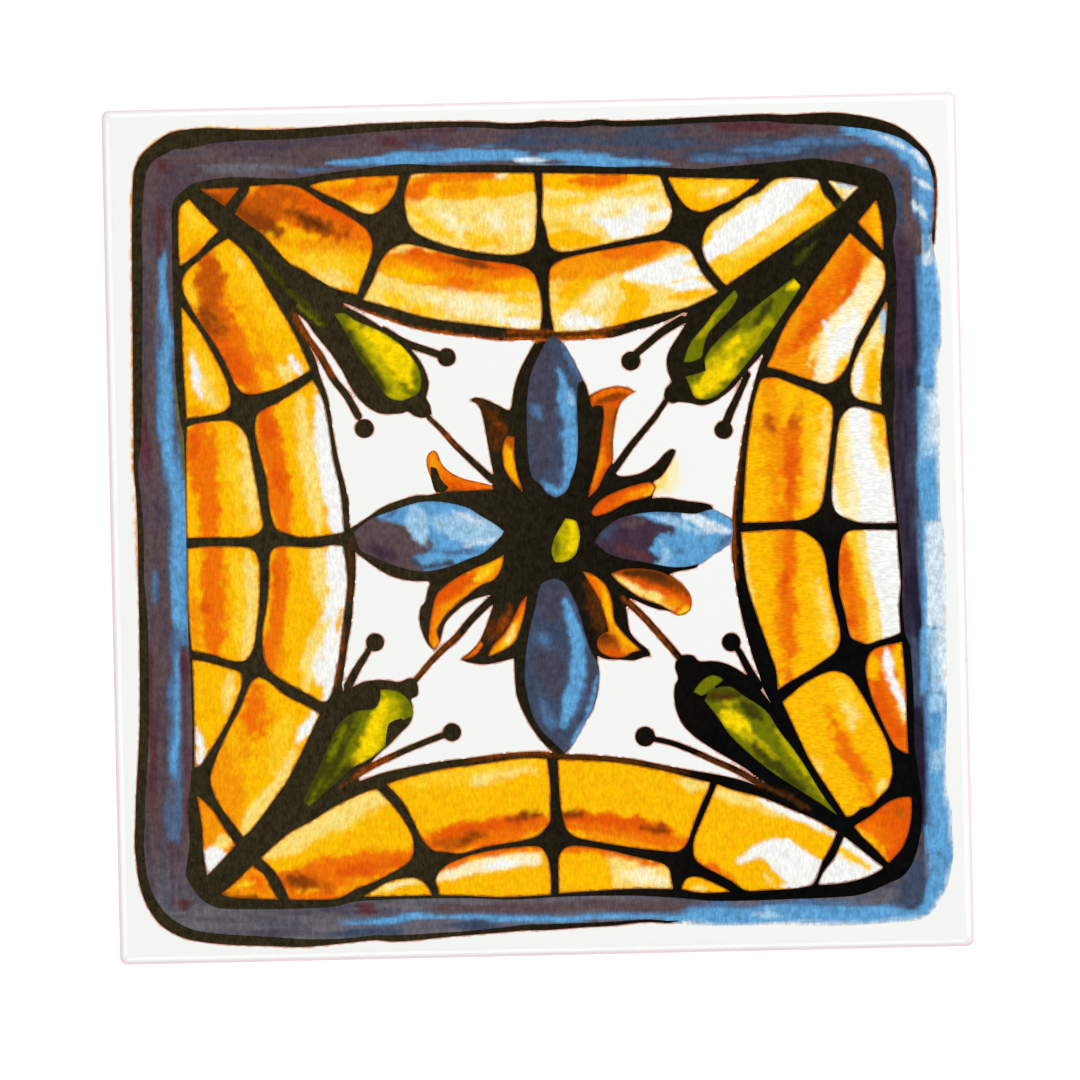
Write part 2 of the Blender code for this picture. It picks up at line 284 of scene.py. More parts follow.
LEFT_BLOCKS = """
gold -39.9,39.4 -41,38.4 -41.25,35 -41.2,31.4 -39,33 -37.5,34.6 -36.4,35.6 -38,37.25
  straw 1.4 1 -40,38.4 -39.4,36.4 -38,36.4
  amber 1.2 1 -40.8,32.4 -38.6,34
gold -35.4,34.7 -37,33.75 -39,32.1 -40.4,30.9 -40.95,29.5 -40.4,27.5 -39,25 -38,23.5 -36.5,21 -35.5,18.75
-34.9,17.4 -34,16.5 -32.5,16.4 -30,17 -28,17.95 -26.1,19.05 -26.75,20.75 -27.75,23 -28.75,25 -30.5,28
-32.75,32 -34,33.5
  orange 4.6 1.4 -38.4,34 -37.4,28 -36.4,23.6 -34.6,19.8 -32,15
  rust 3.6 2.2 -38.2,33 -37.6,28 -36.8,23.6
  brown 2 1.8 -38.8,26.4 -37,25 -36,24.2
  scarlet 1.6 1.6 -36.2,22.4 -34.8,19.6 -33.6,17.6
  straw 1.2 .8 -40.2,29.2 -39.4,27
  amber 1.4 1.2 -33.4,26 -31.6,21 -30.4,18
  straw 2 1.4 -34.6,33 -33,29.6 -30,25
  cream .7 .8 -34.6,32.8 -33.8,31.4
  white .9 .7 -28.6,20.6 -27.4,18.6
  cream 1.6 1 -29.6,19.4 -28.4,17.8
gold -41.1,26.9 -40,25.4 -39,24 -37.75,21.75 -36.5,19.25 -35.9,17.75 -35.55,16 -35.6,15.2 -36.25,14.5
-37.5,14.1 -40.75,13.7 -41,20
  straw 2 1.4 -39.6,23 -38,18 -37,15
  white 1 .6 -40.1,22 -39.6,19 -39,16.4
  cream 1.4 1 -38.4,18 -37,15
  amber .8 .8 -40.8,14.6 -38.8,14.4
gold -40.75,12.75 -39,13.25 -37,13.4 -35.5,13.3 -34.5,12.6 -33.75,11.5 -33.4,10 -33,7.5 -32.6,5 -32.25,2.5
-32.05,1 -32.75,.1 -34,-.3 -38,-.25 -41.05,-.25 -41,6
  orange 3.2 1 -39.4,15 -38.9,8 -38.4,4 -38.4,-2
  scarlet 1.2 1.2 -40.2,12.4 -39.8,9.6
  orange 1.6 1.2 -38,12.6 -37.8,8
  straw 1.6 1.2 -36,12 -35.2,6 -34.6,1
  cream 1.8 1 -33.9,12.8 -33.5,7 -33,1.2
gold -32.5,14 -31.75,14.6 -30.25,15.25 -29,16 -27.5,16.9 -25.9,18 -25.25,16.75 -24.6,15 -24.1,12 -23.75,9
-23.25,6.5 -22.9,4.5 -22.7,2 -22.6,0 -26,-.45 -28,-.4 -29.25,0 -30.5,.5 -31.1,2 -31.4,4 -31.6,6.5
-32.1,8.5 -32.6,10.5 -32.8,12.5
  white 5 .8 -23.4,22 -23.6,12 -22.8,5 -21.6,-5
  cream 1.6 .8 -27.6,17 -26.9,10 -26,4.6 -25.6,0
  orange 2.8 .8 -31.6,17 -31,11 -30.2,5 -29.6,-2
  scarlet 1.8 1.2 -31.8,14 -31,10.6
  scarlet 1.2 1 -30.6,8 -30,5
gold -41,-1.45 -38.5,-1.25 -34,-1.45 -33.1,-2 -32.6,-3.5 -32.6,-6 -32.75,-8.5 -33.1,-11 -33.5,-13.25
-34.25,-14.5 -35.1,-14.8 -36.5,-14.6 -38.5,-13.9 -40.75,-13.4 -41.05,-8
  orange 3 1.2 -38,1 -38,-7 -38,-16
  amber 1.2 1 -40.4,-6 -40.2,-13
  scarlet .8 1 -39.2,-8 -38.6,-9
  cream 1.6 .9 -34,-2 -33.6,-8 -34.4,-15
  straw 1 .9 -35.4,-2.6 -35,-8 -35.6,-13
gold -31.4,-2.5 -30.9,-1.7 -30,-1.4 -26,-1.65 -24,-1.4 -22.75,-1.55 -22.4,-4.5 -22.4,-6.5 -22.9,-10
-23.5,-14.25 -23.9,-16.25 -24.4,-18.5 -25,-19.6 -25.75,-19.7 -26.75,-19.1 -28.5,-18.1 -30,-17.25
-31.5,-16.1 -32.25,-14.75 -32.45,-13 -32.4,-11 -31.9,-8.5 -31.6,-6
  white 5.4 .8 -22.6,6 -22.6,-6 -22.8,-12 -24,-24
  cream 1.8 .9 -26,-1 -25.6,-5 -25.3,-8.6
  cream 2 .9 -24.8,-10.4 -26.4,-13 -27.4,-18
  white 1.4 .9 -25.6,-13.6 -26,-17.6
  orange 2.2 .8 -30.3,1 -30.3,-6 -31,-12 -31.8,-18
  scarlet 1 1 -30.8,-3 -30.8,-8
  amber 1.4 1 -30,-12 -30.6,-16.4
  gold .8 .4 -23.2,-9 -23.7,-11.6
gold -40.7,-14.4 -39,-14.75 -36.5,-15.5 -35.1,-16.05 -34.9,-17 -35.25,-18.5 -36,-20.25 -37,-22.25
-38.25,-24.25 -39.25,-25.75 -40,-26.8 -40.7,-27.1 -40.65,-20
  cream 1.8 .9 -36.4,-16.4 -36.8,-20.6
  white 1 .5 -40.4,-22.6 -39.8,-25 -40.1,-27
  ice .5 .4 -40.6,-23 -40.5,-26.6
gold -33,-16.6 -33.9,-17.25 -34.5,-18.5 -35.25,-20.25 -36.5,-22.5 -37.5,-24.5 -38.75,-27.5 -38.9,-28.75
-38.5,-30.25 -37.75,-31.75 -36.5,-33.5 -35.25,-35.3 -34.5,-34.75 -33,-33 -31.5,-31 -30,-29 -28.75,-26.75
-27.5,-24.3 -25.9,-21.1 -27,-20.4 -28.5,-19.6 -30,-18.75 -31.75,-17.25
  orange 3.2 2.2 -33.6,-17.8 -33.8,-21 -34.6,-24.6
  amber 4 1.8 -37,-25 -36.8,-29 -36,-33
  straw 2 1.2 -29.6,-21.6 -30.8,-25.6 -31.6,-27.6
  white 1.1 .6 -26.4,-20.8 -27.4,-22.6 -28.8,-24.4
  cream 1.2 .8 -29,-25 -30,-27.6 -31,-29
  cream 2.4 .6 -30.6,-28.6 -33,-31.8 -35.4,-36
amber -40.5,-30.25 -38.75,-32 -37.5,-34 -36.1,-36.2 -37.5,-37.75 -38.75,-39 -39.55,-39.75 -39.9,-37
-40,-34 -40.4,-31.25
  cream 1.6 .8 -38.6,-36.4 -36.6,-35.4
  white 2.6 .6 -40.6,-37.5 -36.8,-37.9
  white 1.4 .5 -39.8,-40 -38.6,-38.4
  ice .5 .5 -39.9,-36.6 -39.6,-39.4
"""
BOTTOM_BLOCKS = """
amber -34.2,-38.6 -36.5,-40.75 -38,-41.9 -36.75,-42.3 -34,-42.55 -31.25,-42.7 -32,-41.4 -32.75,-39.9
  orange 1.4 1 -34.6,-39.4 -33,-41.6
  brown .9 .7 -37.6,-42 -34,-42.5
  straw .5 .5 -36,-41 -34,-40.6
gold -33.25,-37.8 -31.5,-36.25 -29.5,-34.75 -27,-33.5 -25,-32.25 -21.5,-30.6 -19.5,-30 -18.5,-31
-17.25,-32.5 -16.25,-34 -15.5,-35.5 -15.3,-37 -15.6,-38.25 -16.5,-39.05 -18,-39.9 -20,-40.9 -22,-41.6
-24.25,-42.7 -27.5,-42.8 -30,-42.7 -30.25,-42 -31.25,-40 -32.25,-38.75
  straw 2 1.2 -31.6,-37.2 -26,-35 -20,-33
  cream 2.6 .9 -34,-38.2 -29,-35.6 -25,-33.4 -20,-31.2 -16,-30.2
  orange 4 1 -33,-41 -27,-40 -22,-39.4 -14.6,-38
  orange 2 .9 -30,-42.4 -24,-42.2 -19,-40.8
  rust 2 1.4 -31,-40.8 -28,-40.6 -25.4,-41.6
  brown 1.6 1.2 -30,-40 -28.4,-40.8 -26.6,-41.4
  scarlet 1.2 1 -24,-39.6 -20,-39.2 -17,-38.6
  amber 1.4 1 -24,-42 -20.6,-41
gold -18.4,-29.5 -16.5,-28.9 -12,-27.9 -8,-27.45 -2.5,-26.8 .5,-26.9 .8,-30 .75,-32.5 .7,-34.25 .1,-35.1
-.75,-35.9 -2.5,-36.4 -7,-37.1 -8.5,-37.5 -10,-37.8 -11.5,-37.6 -13,-37.4 -13.75,-36.75 -14.4,-35.9
-15.25,-34 -16.25,-32 -17.4,-30.5
  straw 1.8 1.4 -16,-29.6 -10,-28.6 -3,-27.6 .6,-27.6
  cream 1.2 .9 -8,-29.4 -5.4,-28.9 -1,-28.2
  orange 3.4 .8 -16,-37 -9,-35.9 -3,-34.8 2,-34
  scarlet 1.6 1 -13,-35.6 -7,-34.8 0,-33.8
  brown 1.2 1 -11.4,-36.9 -9,-36.2 -7,-35.6
  brown 1.2 1 -4,-34 -2,-33.6 -.2,-33.4
  rust 1 .8 -13.6,-36.6 -10,-36.4
gold -12.5,-42.6 -12.6,-41.75 -12.9,-41 -12.5,-40 -11.75,-39.25 -10.5,-38.6 -8.5,-37.95 -6,-37.45
-3.5,-37.2 -1.5,-37.1 -.5,-37.25 .1,-38 .5,-39.25 .65,-41.25 .6,-42.85 -5,-43 -10,-42.7
  milk 1.8 .5 -13.4,-40.6 -8,-39.4 -3,-38.7 1,-38.5
  white .8 .6 -7,-39.4 -1.6,-38.8
  orange .9 .6 -12.2,-39.6 -8,-38 -3.5,-37.4 -.4,-37.4
  gold 1 .6 -.2,-38 .4,-39.6
gold -21.4,-42.6 -20,-41.75 -18.5,-40.95 -17,-40.55 -15.25,-40.5 -14.4,-40.9 -13.75,-41.6 -13.25,-42.6
  cream .9 .5 -20.2,-42 -17,-41 -14.4,-40.9
  milk .5 .4 -18.4,-41.4 -15.4,-41
cream 1.5,-42.7 1.5,-40 1.6,-38.5 2.1,-37.6 3,-37.2 4.5,-37.25 7.5,-37.8 10,-38.45 13.5,-39.4 14.4,-40
14.7,-41.25 14.9,-42.5 10,-42.35
  gold 6 .6 3,-34 4.4,-40 6,-47
  milk 1.6 1 9.4,-40.6 12,-41 14.4,-41.4
  orange .9 .7 1.8,-37.9 4.5,-37.4 10,-38.7 14,-39.8
gold 1.7,-27 7.5,-27.4 10,-27.75 14,-28.6 17,-29.45 19.5,-30.1 19.25,-31 18.5,-32.5 17.75,-34.25 17,-36.25
16.4,-37.5 15.5,-38.1 14,-38.05 10,-37.5 5,-36.55 3.5,-36.1 2.6,-35.25 2.2,-34 1.9,-32
  orange 3 .9 0,-34.5 6,-34.8 11,-35.8 18,-37.6
  scarlet 1.6 .9 1.6,-33.8 6,-34 10,-34.6 15,-35.8
  brown .9 .8 1.8,-33.4 4.4,-33.6
  brown 1.1 .9 11.4,-35.2 14.4,-35.8
  amber 1 .9 4.4,-36 9,-36.8 13,-37.8
  cream 1.4 .9 15.5,-29.8 19,-30.5
gold 20.25,-30.3 22,-31 25.5,-32 29.5,-33.75 32,-34.9 34.2,-36.25 33.4,-38 32.5,-39.5 31.1,-42.4 25,-42.9
23.25,-42.8 21.75,-41.75 20,-40.75 18.25,-39.75 17.5,-39 17.3,-37.75 17.5,-36.5 18.5,-34.25 19.5,-32
  cream 1.2 .8 20,-31.2 24,-32.4 28,-34
  white 1 .5 25,-32.2 29.6,-34.2 34,-36.6
  white 4.2 .5 25.8,-38.6 29.4,-40.4 33.4,-42.2
  white 1.8 .5 22.8,-39.4 25.4,-38.1 28.2,-38 32,-39.8
  white 1.6 .5 27.6,-42.4 31,-42.6
  cream 1 .7 25.6,-41 26.6,-42.6
  orange 1.2 1 17.6,-39 19.6,-40.2 21.6,-41.4
gold 15.8,-42.5 16,-41.9 16.6,-41.2 17.75,-41.1 19,-41.55 20.5,-42.3 21.7,-42.95 18,-43
  cream .8 .7 17,-42.4 18.5,-42.6
white 35,-36.75 36.5,-38 38,-39.25 39.6,-40.55 38,-41.4 36,-42 34,-42.3 31.75,-42.4 32.4,-41 33.75,-39.25
34.5,-37.75
  straw 1.3 .5 33.4,-37.6 37.6,-40.4
scarlet 36.1,-35.6 38,-34.5 40,-33 41.5,-32.4 42.95,-32.3 42.9,-34.5 42.5,-36.5 41.75,-38.25 40.1,-40.05
38.5,-38.25 37,-36.75
  rust 1.2 1.2 41.4,-33.4 42.2,-35
  orange 2.6 1.6 37.6,-35 39,-37 41,-38.8
  gold 2.2 1.2 36,-36.4 38,-38.4 40.2,-40.4
  straw .8 .8 36.4,-36 37.6,-37.4
"""
RIGHT_BLOCKS = """
amber 40.4,37.6 40.95,35 41.1,33 41.1,31.4 40,32.75 39,33.9 38.1,34.9 39.25,36.25
  gold 1 .8 40.2,36.6 40.6,33
amber 37.2,33.75 38.5,32.5 40,31.1 41.1,30 41.25,28 41,27 40,25.2 38.9,23.25 37.75,21.25 37.25,20
36.75,18.5 36,17.25 35,16.4 33.9,16.1 32.5,16.5 31,17 29,17.75 27.1,18.25 27.75,19.5 28.75,21.75 30,24
31.5,26 33,28.25 34.5,30.25 36,32.25
  orange 3 1.4 37.6,32 35.6,28 32.6,23.6 29,19.4
  scarlet 1.4 1.2 38.2,31 36.8,26.6 35.4,22.8
  scarlet 1.8 1.2 33,24 31,20.6
  cream 2.4 .9 40.8,31 39.6,27.4 38.2,24.6
  milk 1.4 1 40.6,31 40.4,28 39.2,25.4
  milk 4.4 .6 38.8,26.8 36,21.6 33,16
  white 2.2 1 37.6,24 35.8,20.6 34.4,18
  white .7 .5 34,23.4 34.8,21.4
  white .7 .5 36,24.8 36.6,22.6
  cream 1 .8 33.4,21.6 32,18
  straw 1 .7 36.6,19.4 35.4,17.4
  cream .9 .7 40.6,30.2 40.6,28.4
cream 41.4,25.9 40,23.5 39,21.75 37.9,19.75 37.25,18.25 36.9,16.75 36.9,15.5 37.25,14.6 38.25,14.05
40.5,13.5 40.5,17.5 40.9,20 41.4,24.75
  white 1.2 .5 38.2,19.4 37.4,14.6
  gold 1.8 .7 39.7,19.6 39.3,13.6
  pale_blue .8 .7 40.9,24.4 40.9,22
  milk .8 .7 40.2,22.6 39.6,20.6
gold 26.6,16.9 28.25,17 30,16.3 32,15.5 33.75,14.6 34.6,13.75 34.8,12.5 34.6,10.5 34.25,8 33.9,5.5 33.5,3
33,1.6 32,.75 30.75,.3 27,.1 23.9,.1 24.25,4.5 24.5,7.5 24.9,10.5 25.4,13.5 26.1,16
  amber 3 1.6 27,17 28,8 28,0
  orange 2.2 1.4 30.4,13.4 30,8 29.4,0
  scarlet 1.4 1.2 30,9 29.4,3
  rust 1.4 1.2 26.9,12.8 27.6,10.8
  rust .9 1 30.2,12.6 30.4,11.4
  straw 1.8 1.4 32.4,12 32.6,7 31.8,3
  cream 1.2 .8 34,13 33.5,8 33,3
white 36.5,13.1 37.5,13.4 38.5,13.2 40.75,12.3 41.1,9 41.4,6 41.7,2.75 41.95,-.3 38.25,-.25 37,0 35.75,.5
35,1 34.5,2 34.4,3.5 34.55,5.5 34.9,8 35.25,10.5 35.6,12
  milk 2.6 .4 35.6,16 35.6,8 36.2,3 37.4,-3
  cream 1.6 .8 35.6,14 35.2,7 35.8,2
  cream 2.2 .7 39.8,15 40,11 40.7,6
  straw 1.2 .8 40.2,13.4 40.6,9.6
  gold 1.2 .8 40.2,13 40.4,10
  orange .5 .5 41,10.4 41.2,8
gold 23.7,-.95 28.75,-.75 30.75,-.95 32,-1.7 33,-2.75 33.5,-4.25 33.75,-6 34.1,-8.25 34.6,-10.5 35,-12.5
35,-14 34.4,-15.25 33,-16.25 31.5,-17.25 28.75,-18.75 27.6,-19.55 27.45,-17.25 26.9,-15.5 26.25,-13.5
25.5,-11.25 24.5,-8 24.1,-6 23.9,-3.75
  amber 2.4 1.4 28.4,2 28.8,-8 28.8,-18
  orange 1.4 1.4 29.4,1 29.2,-6 29.2,-12 28.8,-20
  cream .9 .4 23.9,-2 24.2,-6 25,-10.4
  straw 1.8 1.2 31.6,-6 32.8,-10 33.6,-15
  cream 1.2 .9 32.6,-7 33.6,-10.6 34,-14.6
  scarlet .6 .9 28.8,-5 28.9,-8
white 35.5,-2 36.1,-1.25 37,-1 42,-1.1 42,-3 42.25,-7.5 42,-10 42.1,-13.1 41,-13.6 39.5,-14 38.25,-14.4
37.25,-14.1 36.25,-13.5 35.6,-10.5 35.1,-8.5 35,-6.5 35.05,-4.5
  straw 2.4 .5 36.6,2 37.4,-5 38.4,-10 39.2,-17
  cream 1 .5 37.4,1 38.2,-5 38.9,-10 39.5,-16
  amber 3 .5 34.4,2 35.4,-5 36.6,-10 37.8,-17
  orange 1.6 .9 35.6,-2 35.9,-7 36.6,-11 37,-14
  scarlet 1 .9 36,-10 36.4,-13.4
  scarlet .9 .9 35.8,-3.4 35.8,-7
orange 38.4,-15.5 39.5,-14.75 42.25,-14.2 42.4,-16.5 42.6,-20 42.6,-23 42.7,-27.4 41.25,-26.5 40.4,-25
39.5,-23 38.6,-20.75 38.1,-18.75 37.9,-17.25
  scarlet 1.6 1.2 39,-19 40.4,-22.6 42,-26.4
  gold 1.6 1 38.6,-15.6 38.6,-18
  gold 1.8 .7 41.9,-13.4 42,-19.4
  cream 1 .8 41.6,-20 42.4,-23.6
  white 1 .5 40.3,-14.4 40.8,-17.8 42.6,-22.8
gold 28.1,-20.9 29.5,-19.75 31,-18.6 33.5,-17.5 34.75,-17.5 36,-18.1 37,-19.5 38,-21.25 39,-23.25
40,-25.25 40.6,-27.25 40.8,-29 40.75,-29.75 40.25,-31.25 39.25,-32.25 38.25,-33.25 37,-33.6 36,-34.4
35.25,-34.5 34.5,-33.25 33.25,-31.25 32,-29.25 31,-27.5 30,-25.25 29,-23
  orange 1.7 1.4 33.6,-22.6 36.6,-28.4 38.8,-33
  cream 1.2 1.2 35.4,-19.6 36.2,-24
  straw 1.4 1.2 34.4,-18.6 36.4,-21
  cream .8 .9 31.4,-27.4 32.6,-29.6
  cream .9 .9 39.2,-31.6 39.8,-30.6
"""

# The flower's petals, its leaves, and the buds with the boss, in the same form
PETALS = """
steel .5,5 1.25,4 2.25,3.55 3.4,4.25 4,5.5 4.6,7.25 4.9,9.5 4.9,15 5.1,17 5.75,17 5,18.75 4.25,20.25
3.25,21.75 2.4,22.4 1.6,22 .75,20.5 -.25,18.5 -.75,16.5 -1,14 -1,11 -.9,8 -.5,6
  storm 3.6 1.6 1.2,22 .8,14 .6,7.4
  mid_blue .9 1 -.2,14.2 .8,12.6
  mid_blue 2 1 3.3,17 3.8,14 3.9,8 3,4.4
  sky 1.7 .6 2.9,18.4 3.9,14.6 4.1,9.6 3.6,4.6
  pale_blue .6 .6 3.9,16 4.4,14.4
  sky 1 .8 .8,5.4 2.2,4.3 3.8,5
  mid_blue .6 .7 3.4,21.4 4.8,18.6 5.6,16.8
steel 1.9,-5.95 3,-6.5 3.75,-7.75 4.4,-9.25 4.9,-11 5.4,-13 6,-14.75 6.7,-16 6.8,-17.5 6.55,-19.5 6,-21.25
5.1,-22.75 4.25,-24.25 3.25,-25.75 2.6,-26.4 1.25,-25 0,-23.75 -1,-22 -1.6,-19.75 -1.9,-17.5 -1.75,-15
-1.25,-12 -.5,-9.25 .25,-6.5
  storm 3.4 1.4 1.4,-6.4 1.4,-10.8
  storm 3.8 1.2 .8,-14 1.6,-19
  storm 2 1 5.8,-15.4 5.4,-20
  mid_blue .9 1.2 -.6,-11.6 .8,-13.6
  mid_blue .8 1.2 -.4,-19.8 1,-23
  mid_blue 2.2 1 3.2,-8.8 4.2,-13 4.2,-18 2.8,-23
  sky 1.7 .5 3,-8.8 4.2,-12.6 4.3,-17 3.6,-19.6 2.6,-23
  sky .5 .6 6.7,-17 5.2,-22.4 2.8,-26.2
sky -21.5,0 -19.5,1.5 -17,2.4 -14,3.3 -12,3.4 -10,3.1 -8,2.5 -6.5,1.5 -5,.6 -4,-.25 -4.25,-.75 -5.25,-1.75
-6.5,-2.75 -8.5,-3.5 -10,-4.1 -12,-4.6 -14,-4.7 -16,-4.25 -18,-3.5 -19.5,-2.75 -20.75,-2.1
  slate 5.6 .5 -24,-.4 -18.6,-.8 -13.4,-1.8
  slate 3 .5 -20.6,-2.4 -16.8,-3.2 -14,-4.6
  purple 1.6 1.2 -20,-1.8 -16.4,-3
  sky 1.4 .5 -19.4,2.2 -16.8,1.7 -15,.8
  mid_blue .7 .5 -18.2,1.4 -16.4,2.4
  pale_blue 2.6 .8 -14.8,3 -14,.6 -13.6,-1.4
  pale_blue 3.8 .9 -11.6,.8 -7,0 -3.8,-.8
  ice .7 .7 -9.8,2.1 -6.4,.6
  ice .7 .6 -8.4,-1.9 -4.6,-1.1
  mid_blue .6 .6 -13,-2.2 -10,-2.6 -6.4,-2.4
  steel .8 .7 -14.8,-3.4 -13.4,-4.1 -10.2,-3.9
sky 6.6,-1.75 7.25,-.75 8.75,.5 10.5,1.2 13.5,1.6 16,1.5 18.5,1.3 20.5,1.75 21.75,1.1 22.7,.4 22.6,-2
21.75,-2.75 20.5,-3.5 19,-4.5 16,-4.9 12.5,-4.25 10,-3.75 8,-3
  purple 5 .6 4,-2 9,-1.2 15.4,-.6
  purple 2.8 .6 7,-2.6 11,-3.4 14,-3.9
  maroon 1.1 .9 9.4,-2.6 12.4,-3.6
  steel 1.2 1 7,-1.8 8.4,-.5 9.6,.4
  slate 1.2 1 9.8,0 12.4,.6
  mid_blue .8 .6 13.2,1.5 16,1.3 19.8,1.1
  sky 1.6 .5 14.6,-3.6 14.4,-2 15.4,-.8
  pale_blue 1.1 .7 13.4,1.1 15.4,.6 17,-.2 19.6,-1.1
  ice 1.4 .5 17.2,1.1 19.8,-.1 22.6,-1.1
  pale_blue .9 .8 14.6,-2 14.8,-3.4 14.2,-4.8
  mid_blue .6 .5 16,-2 16.8,-3.2
  mid_blue .8 .5 22.6,-1.2 21.2,-2.6
"""
LEAVES = """
amber -3.4,10.9 -2.5,10.75 -2.55,8.5 -2.25,6.5 -1.5,4 -3.5,6.5 -3.95,8.5 -3.8,10
  gold 1 .6 -3.2,9.4 -3,7.2 -2.3,5.6
  rust 1.4 .7 -3.2,11.4 -2.9,9.8
  rust .6 .5 -2,5 -1.4,3.8
orange -12.1,9.4 -11.6,9.2 -11,7.75 -10,6.75 -8.5,6 -7,5.6 -5.2,5.1 -5,4.65 -8,4.55 -10.75,4.5 -11.6,4.25
-12,4.75 -12.4,6.25 -12.8,7.5 -12.75,8.75
  amber .9 .6 -12.2,9.2 -11.9,8 -11.2,7
  amber .4 .4 -10.6,7.3 -8.6,6.1 -5.6,5.2
  scarlet 1.2 .6 -11.2,6.2 -9.6,5.2 -6.4,4.7
  rust .5 .5 -10.8,4.8 -7.6,4.6
scarlet 6.4,15.2 7.75,16 9.25,16.35 10.75,16.2 11.7,15.7 11.7,15.7 10.8,15.2 10,14.4 9.5,13 9.1,11 8.95,9
8.9,7.6 8.2,6.6 7,4.4 5.9,3.4 6.25,4.75 7,7.25 7.4,9 7.7,11 8,13 7.9,14.1 7.2,14.2 6.6,14
  orange .9 .6 6.4,15 8.6,15.9 10.8,15.8
  brown .8 .6 7.2,14.5 8.6,14.8 10.4,15.4
  rust 1.5 .7 8.8,14.4 8.9,11.6 8.5,8.4
  amber .8 .6 7.8,9 7.3,7 6.5,4.8
  brown .9 .6 9.5,13.6 9.2,10.6 8.9,7.8
scarlet 6.25,1.6 6.6,2.3 7.5,3.2 9,4 11.25,4.75 13.3,5.1 13.9,4.6 13.6,3.8 13,3.4 10.5,2.75 8.5,1.75
6.75,1.25
  orange 1 .8 9,2.4 12.4,4
  amber 1.4 .9 11,3.8 14.4,4.6
  straw .7 .6 12.6,3.5 14,4.4
amber -4,-3 -5.5,-3.75 -7.5,-4.5 -9.5,-5.5 -11,-6.5 -12,-7.5 -12.6,-9.5 -13,-12 -12.9,-13.3 -12.4,-13.95
-11.75,-13 -12,-11.75 -11.25,-10.25 -10,-9 -8.5,-7.75 -6.75,-6.5 -5.25,-5.9 -4.3,-4.5
  scarlet 2.6 .9 -12.4,-9 -10.6,-7.2 -7.6,-5.6
  orange 1.2 .9 -12.8,-11 -11.4,-8.6
  orange .6 .5 -12.8,-11 -12.7,-13.4
  gold 1.2 .7 -7,-5.2 -4.6,-3.8
  straw .6 .6 -7.4,-5.8 -5.2,-4.6
amber -1.4,-7.75 -1.75,-9.75 -2.25,-11.5 -3,-13.25 -4.5,-14.25 -6.2,-14.9 -5.5,-13.5 -4.25,-12.25
-3,-10.25 -2.25,-8.75
  scarlet .9 .6 -1.4,-7.6 -3.2,-10.8 -5.2,-13.4
  gold .9 .6 -2.6,-10.6 -3.6,-13 -5.6,-14.6
  cream .8 .6 -3,-11.4 -3.8,-13.4
orange -9.2,-15 -8,-14.2 -7,-13 -6.6,-13.4 -7.4,-14.5 -8.6,-15.1
scarlet 8.4,-5.5 10,-5 13,-5.1 15,-5.75 16.25,-6.5 17,-7.25 17.75,-8.5 17.6,-10 16.25,-10.6 15.25,-10
14,-9.25 12,-8.5 10.5,-7.5 9.25,-6.5
  brown 3 1 9.4,-4.8 13,-5.4 15.6,-6.4 17.6,-8.2
  umber 1 .8 10.4,-5.4 13.4,-5.8 15.6,-6.8
  scarlet 1.1 .8 11,-6.8 14,-7.9 16.8,-9.2
  cream 1.2 .5 8.2,-5.8 11,-7.2 14,-8.8 15.6,-9.8
  milk .5 .4 9.4,-6.4 12,-7.7
  amber 1.2 .8 14.6,-8.9 16.8,-9.5
  straw .8 .6 16,-10.4 17.6,-9.8
amber 5.1,-5.1 6.25,-5.5 7.75,-6.75 8.5,-8.75 8.75,-11 10,-12.75 11.75,-14.5 10.6,-14.8 10,-15.2 8.5,-15.3
7,-14.6 6.6,-13.6 6.9,-12.8 8,-12.2 7.6,-10.5 7,-8.5 6,-6.75
  orange .8 .5 5.1,-5 6.8,-7.6 7.6,-10.6
  gold .7 .5 7.5,-7.4 8.2,-10.5 9.6,-12.8 11.2,-14.4
  rust 2.6 .7 5.4,-13.8 7.8,-13.6 9.4,-15
  scarlet 1.2 .7 6.8,-15 9.8,-15.3
  brown 1.6 .8 5.6,-13.2 7.6,-13.1 9,-13.6
  umber 1.2 .7 5.6,-12.6 8,-12.4
"""
